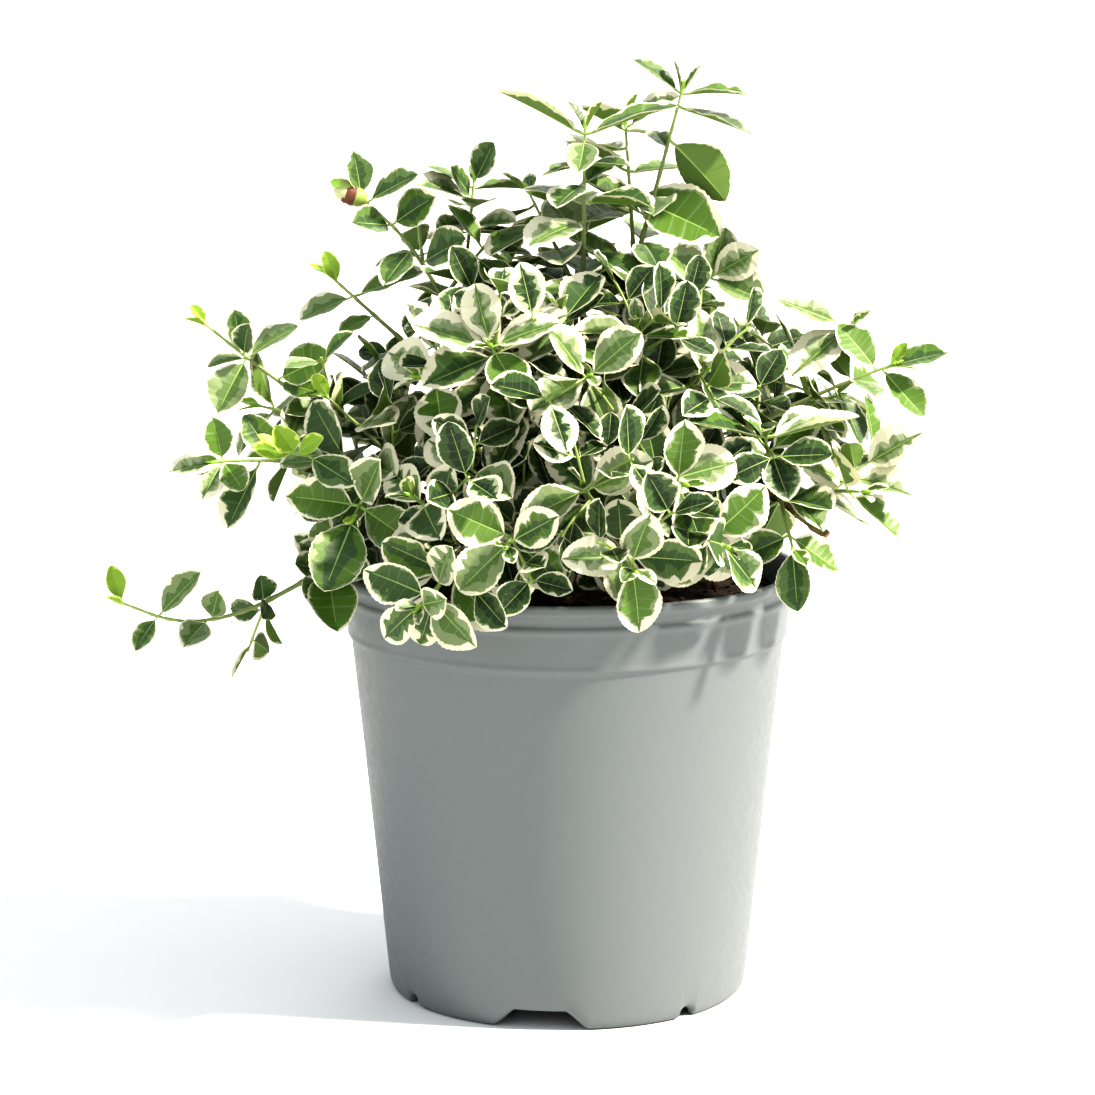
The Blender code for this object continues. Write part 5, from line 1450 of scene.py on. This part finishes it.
def leaf_sides(draw, half, kind, paleness, margin):
    """The left and the right side of a leaf, and whether it is a pale one. A side is its
    reach at each station, and the shares of it where the rib, the greens and the cream
    begin and end."""
    along = STATION_PLACES
    zigzag = np.where(np.arange(BLADE_STATIONS) % 2, 1, -1) * TEETH
    zigzag = zigzag * np.clip(np.sin(np.pi * along) * 2, 0, 1)
    plain = kind == PLAIN
    margin *= KIND_MARGINS.get(kind, 1)
    cream_base = draw.uniform(*MARGIN) * margin
    tip_cream = draw.uniform(0.0, TIP_MARGIN) * margin * (not plain)
    pale = not plain and (kind == PALE or draw.random() < paleness)
    greyness = draw.uniform(*(PALE_GREYNESS if pale else GREYNESS))
    sides = []
    for _ in range(2):
        reach = half + zigzag * draw.uniform(*TOOTH_SPREAD, BLADE_STATIONS)
        breadth = np.maximum(reach, LEAST_HALF)
        cream = (cream_base * (1 + MARGIN_WANDER * drift(draw, BLADE_STATIONS))
                 + tongues(draw, BLADE_STATIONS, 0.0 if plain else TONGUE_MARGIN * margin)
                 + tip_cream * along**4)
        if pale:
            extra = draw.uniform(*PALE_MARGIN)
            cream = cream + extra * (1 + PALE_WANDER * drift(draw, BLADE_STATIONS))
        cream = np.maximum(cream, LEAST_MARGIN)
        outer = np.clip(1 - cream / breadth, *CREAM_FROM)
        greyed = np.abs(drift(draw, BLADE_STATIONS)) * greyness + LEAST_GREYNESS
        inner = np.clip(outer - greyed, *GREY_FROM)
        rib = np.clip(RIB_HALF * (1.15 - along) / breadth, *RIB_SHARE)
        middle = rib + (inner - rib) * (0.5 + HEART_WANDER * drift(draw, BLADE_STATIONS))
        middle = np.clip(middle, rib + 0.01, inner)
        sides.append((reach, [np.zeros(BLADE_STATIONS), rib, middle, inner, outer,
                              np.ones(BLADE_STATIONS)]))
    return sides, pale


def leaf_points(draw, sides, edge):
    """The points of a folded, curled and rippled leaf, 1 long on Y and facing +Z."""
    along = STATION_PLACES
    fold, curl = draw.uniform(*FOLD), draw.uniform(*CURL)
    twist, sway = draw.uniform(-TWIST, TWIST), draw.uniform(-SWAY, SWAY)
    waves = [(draw.uniform(*WAVE_HEIGHT), draw.uniform(*WAVE_RATE), draw.uniform(*WHOLE_TURN))
             for _ in range(2)]
    quilt = np.where(np.arange(BLADE_STATIONS) % 3 == 0, -1, 0.5) * QUILT

    def lay(share, side):
        """A column of points over the blade, at shares of the way to the edge."""
        reach = sides[side][0]
        level = along + (edge - along) * share
        x = reach * share * (-1 if side == 0 else 1)
        high, rate, phase = waves[side]
        z = fold * np.abs(x) ** 1.25 * 1.6 - curl * level**2
        z = z + high * share**2 * np.sin(2 * np.pi * rate * level + phase)
        z = z + quilt * 4 * share * (1 - share) * np.sin(np.pi * along)
        z = z - RIB_GROOVE * np.exp(-((share * reach) / 0.02) ** 2) * (1 - along)
        z = z + twist * x * level
        y = STALK + (1 - STALK) * level
        return np.stack((x + sway * level**2, y, z), axis=1)

    left, right = sides[0][1], sides[1][1]
    top = np.stack([lay(share, 0) for share in left[::-1]]
                   + [lay(share, 1) for share in right[1:]], axis=1)
    below = []
    for side, share in ((0, left[4]), (0, left[1] * 1.4), (0, left[0]), (1, right[1] * 1.4),
                        (1, right[4])):
        column = lay(share, side)
        keel = RIB_KEEL * (share < 0.02) * (1.1 - along)
        column[:, 2] -= BLADE_THICKNESS * (1 - 0.35 * share) + keel
        below.append(column)

    def stalk(most, count, rise):
        """Rows of points across the stalk, which rises to the root of the blade."""
        across = np.linspace(-most, most, count)
        return np.array([np.stack((across * STALK_HALF, np.full(count, y),
                                   top[0, COLUMNS - 1, 2] * (y / STALK) + rise(across)),
                                  axis=1) for y in STALK_STATIONS])

    stalk_top = stalk(1, TOP_ROW, lambda across: 0.012 * (1 - across**2))
    stalk_under = stalk(0.75, UNDER_ROW, lambda across: -0.026 * (1 - 0.5 * across**2))
    rows = (stalk_top, top, stalk_under, np.stack(below, axis=1))
    return np.concatenate([row.reshape(-1, 3) for row in rows])


def leaf_tones(draw, lime, pale, inner):
    """The tone of each face of a leaf, from its stalk to its tip."""
    near, far = (MID, GREY) if pale else HEARTS[draw.integers(len(HEARTS))]
    # Inner leaves take the near-black tone, partly older leaves and partly painted shade for
    # the crown's heart.
    if inner:
        near, far = OLD_AND_SHADE, DARK
    rim = MILKY if pale else GREY
    upper = []
    thin = [drift(draw, STATIONS) for side in (0, 1)]
    for i in range(STATIONS - 1):
        row = []
        for side in (0, 1):
            greens = [near, far, rim if thin[side][i] > GREY_RIM_FROM else far]
            if i >= len(STALK_STATIONS) and vein_rows[i - len(STALK_STATIONS)]:
                greens = [VEIN_TONES.get(tone, tone) for tone in greens]
            strip = [RIB if i < STATIONS * RIB_END else near, *greens, CREAM]
            row += strip[::-1] if side == 0 else strip
        upper += [RIB] * len(row) if i < len(STALK_STATIONS) else row
    lower = []
    for i in range(STATIONS - 1):
        # The under side takes the underside tones, which carry painted light shining through
        # the leaf.
        row = [UNDER_CREAM_WITH_GLOW, UNDER_WITH_GLOW, RIB, RIB, UNDER_WITH_GLOW, UNDER_CREAM_WITH_GLOW]
        lower += [RIB] * 6 if i < len(STALK_STATIONS) else row
    tones = np.array(upper + lower + [RIB, CREAM])
    if lime:
        creams = np.isin(tones, (CREAM, UNDER_CREAM_WITH_GLOW))
        tones = np.where(creams, LIME_PALE, np.where(tones == RIB, RIB, LIME))
    return tones


def levelled(mass, matrix):
    """The leaves at the top of the plant and at the top of the right front shoot lie level
    from front to back, so they are seen almost on edge."""
    some, all_but_level = LEVEL_ABOVE.get(mass, LEVEL_AT_TOP)
    place, along, face = matrix.translation, matrix.col[1].xyz, matrix.col[2].xyz
    length = along.length
    face = face / length
    if place.z < some or face.z < LEVEL_FACING:
        return matrix
    face.y *= LAID_FLAT if place.z > all_but_level else LEVELLED
    return leaf_matrix(place, along, face, length)


leaf_finishes = [make_finish(name, colour, rough, 1.1 * MM, 0.05 * MM, 0.3)
                 for name, colour, rough in LEAF_TONES]
one_leaf = leaf_faces()
for piece_name, masses in SIDES_OF_CROWN.items():
    shells = []
    for number, leaf in enumerate(growth.leaves):
        if leaf.mass not in masses:
            continue
        draw = np.random.default_rng(SEED * 100000 + number)
        lime = leaf.kind == YOUNG and leaf.mass in LIME_SHOOTS
        half, edge = leaf_outline(draw, leaf.kind)
        sides, pale = leaf_sides(draw, half, leaf.kind, PALENESS[leaf.mass],
                                 THIN_MARGINS.get(leaf.mass, 1))
        points = leaf_points(draw, sides, edge)
        tones = leaf_tones(draw, lime, pale, leaf.kind == FINE)
        turn = np.array(levelled(leaf.mass, leaf.matrix) @ Matrix.Scale(LEAF_GROWTH, 4))
        shells.append((points @ turn[:3, :3].T + turn[:3, 3], one_leaf, tones))
    mesh = joined_mesh(piece_name, shells)
    piece = add_piece(piece_name, mesh, leaf_finishes, 55)
    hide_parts(*("foliage_" + mass for mass in masses))


# Buds
# At the end of each shoot sits a small pointed green bud. The one at the upper left is
# big and ripe, with two scales banded in reddish brown, cream and green.
BUD_SIDES = 14
BUD_RINGS = 14
BUD_SUNK = 0.15
SWELL_FROM = 0.12
BUD_TIP_RADIUS = 0.04 * MM
RED_BUD_AXIS = Vector((-0.93, -0.12, 0.30)).normalized()
BUD_GREEN, BUD_RED, BUD_CREAM, BUD_SCALE = range(4)

# One row for each scale of a bud: its shift up and ahead, its length and radius, how
# blunt and how crinkled it is, and the finishes of its foot, middle and tip.
GREEN_BUD = ((0.0, 0.0, 5.5 * MM, 1.0 * MM, 0.8, 0.15, (BUD_GREEN, BUD_GREEN, BUD_GREEN)),)
RED_BUD = ((0.0, 0.0, 12.5 * MM, 3.8 * MM, 0.5, 0.04, (BUD_SCALE, BUD_RED, BUD_CREAM)),
           (2.6 * MM, 3.4 * MM, 10.0 * MM, 2.6 * MM, 0.5, 0.04,
            (BUD_SCALE, BUD_SCALE, BUD_GREEN)))

bud_shells = []
for shoot, path, low in leaders:
    end, axis = path.at(path.length)
    scales = GREEN_BUD
    if shoot.name == "upper_left" and low == 0:
        scales, axis = RED_BUD, RED_BUD_AXIS
    aside, across = squared_to(axis)
    for shift, ahead, length, radius, blunt, crinkle, bands in scales:
        foot = end + axis * (ahead - BUD_SUNK * length) + UP * shift
        points = []
        for k in range(BUD_RINGS + 1):
            share = k / BUD_RINGS
            swell = math.sin(math.pi * (SWELL_FROM + (1 - SWELL_FROM) * share)) ** blunt
            for i in range(BUD_SIDES):
                angle = 2 * math.pi * i / BUD_SIDES
                crease = 1 + crinkle * math.cos(2 * angle + (math.pi if k % 3 == 0 else 0))
                reach = max(BUD_TIP_RADIUS, radius * swell * crease)
                points.append(foot + axis * length * share
                              + (aside * math.cos(angle) + across * math.sin(angle)) * reach)
        faces = tube_faces(BUD_RINGS + 1, BUD_SIDES)
        tones = [bands[min(2, 3 * i // len(faces))] for i in range(len(faces))]
        bud_shells.append((points, faces, tones))
bud_finishes = [
    make_finish("bud_green", (0.25, 0.44, 0.06), (0.36, 0.5), 0.9 * MM, 0.04 * MM, 0.45),
    make_finish("bud_red", (0.115, 0.040, 0.022), (0.4, 0.6), 0.9 * MM, 0.06 * MM, 0.4),
    make_finish("bud_cream", (0.40, 0.42, 0.24), (0.4, 0.6), 0.9 * MM, 0.05 * MM, 0.4),
    make_finish("bud_scale", (0.22, 0.29, 0.075), (0.4, 0.6), 0.9 * MM, 0.05 * MM, 0.4),
]
add_piece("buds", joined_mesh("buds", bud_shells), bud_finishes, 50)


# Studio
# A plain pale floor that runs out of sight, a soft white surround, one warm key light
# from the right and a weak one from behind, and the camera where the photograph's was.
CAMERA_PLACE = Vector((-7.36, -1368.3, 401.4)) * MM
CAMERA_PITCH = 0.1724
LENS = 124.95
FLOOR_RADIUS = 30
FLOOR_DROP = 0.2 * MM


def add_sun(name, azimuth, height, strength, spread, colour):
    """A sun azimuth degrees to the right of the camera and height degrees up."""
    lamp = bpy.data.lights.new(name, "SUN")
    lamp.energy = strength
    lamp.angle = math.radians(spread)
    lamp.color = colour
    holder = bpy.data.objects.new(name, lamp)
    bpy.context.scene.collection.objects.link(holder)
    turn, lift = math.radians(azimuth), math.radians(height)
    toward = Vector((math.cos(lift) * math.sin(turn), -math.cos(lift) * math.cos(turn),
                     math.sin(lift)))
    holder.location = POT_AXIS + toward
    holder.rotation_mode = "QUATERNION"
    holder.rotation_quaternion = (-toward).to_track_quat("-Z", "Y")


floor_form = bmesh.new()
bmesh.ops.create_circle(floor_form, cap_ends=True, segments=96, radius=FLOOR_RADIUS)
floor_mesh = bpy.data.meshes.new("floor")
floor_form.to_mesh(floor_mesh)
floor_form.free()
floor_mesh.materials.append(make_finish("white_floor", (0.67, 0.685, 0.70), (0.75, 0.9), 0.3,
                                        0.1 * MM, 0.2))
floor = bpy.data.objects.new("floor", floor_mesh)
floor.location.z = -FLOOR_DROP
bpy.context.scene.collection.objects.link(floor)
floor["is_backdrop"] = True

add_sun("key", 76, 44, 8.5, 5, (1.0, 0.88, 0.77))
add_sun("behind", 165, 35, 0.5, 30, (1.0, 0.98, 0.92))

world = bpy.data.worlds.new("studio")
world.use_nodes = True
surround = world.node_tree.nodes["Background"]
surround.inputs["Color"].default_value = (0.985, 0.995, 1.0, 1)
surround.inputs["Strength"].default_value = 1.0
bpy.context.scene.world = world
bpy.context.scene.view_settings.view_transform = "Standard"
bpy.context.scene.view_settings.look = "High Contrast"

camera_data = bpy.data.cameras.new("camera")
camera_data.lens = LENS
camera_data.sensor_width = 36
camera_data.clip_start = 0.1
camera_data.clip_end = 100
camera = bpy.data.objects.new("camera", camera_data)
bpy.context.scene.collection.objects.link(camera)
camera.matrix_world = (Matrix.Translation(POT_AXIS + CAMERA_PLACE)
                       @ Matrix.Rotation(math.pi / 2 - CAMERA_PITCH, 4, "X"))
bpy.context.scene.camera = camera

low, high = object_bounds()
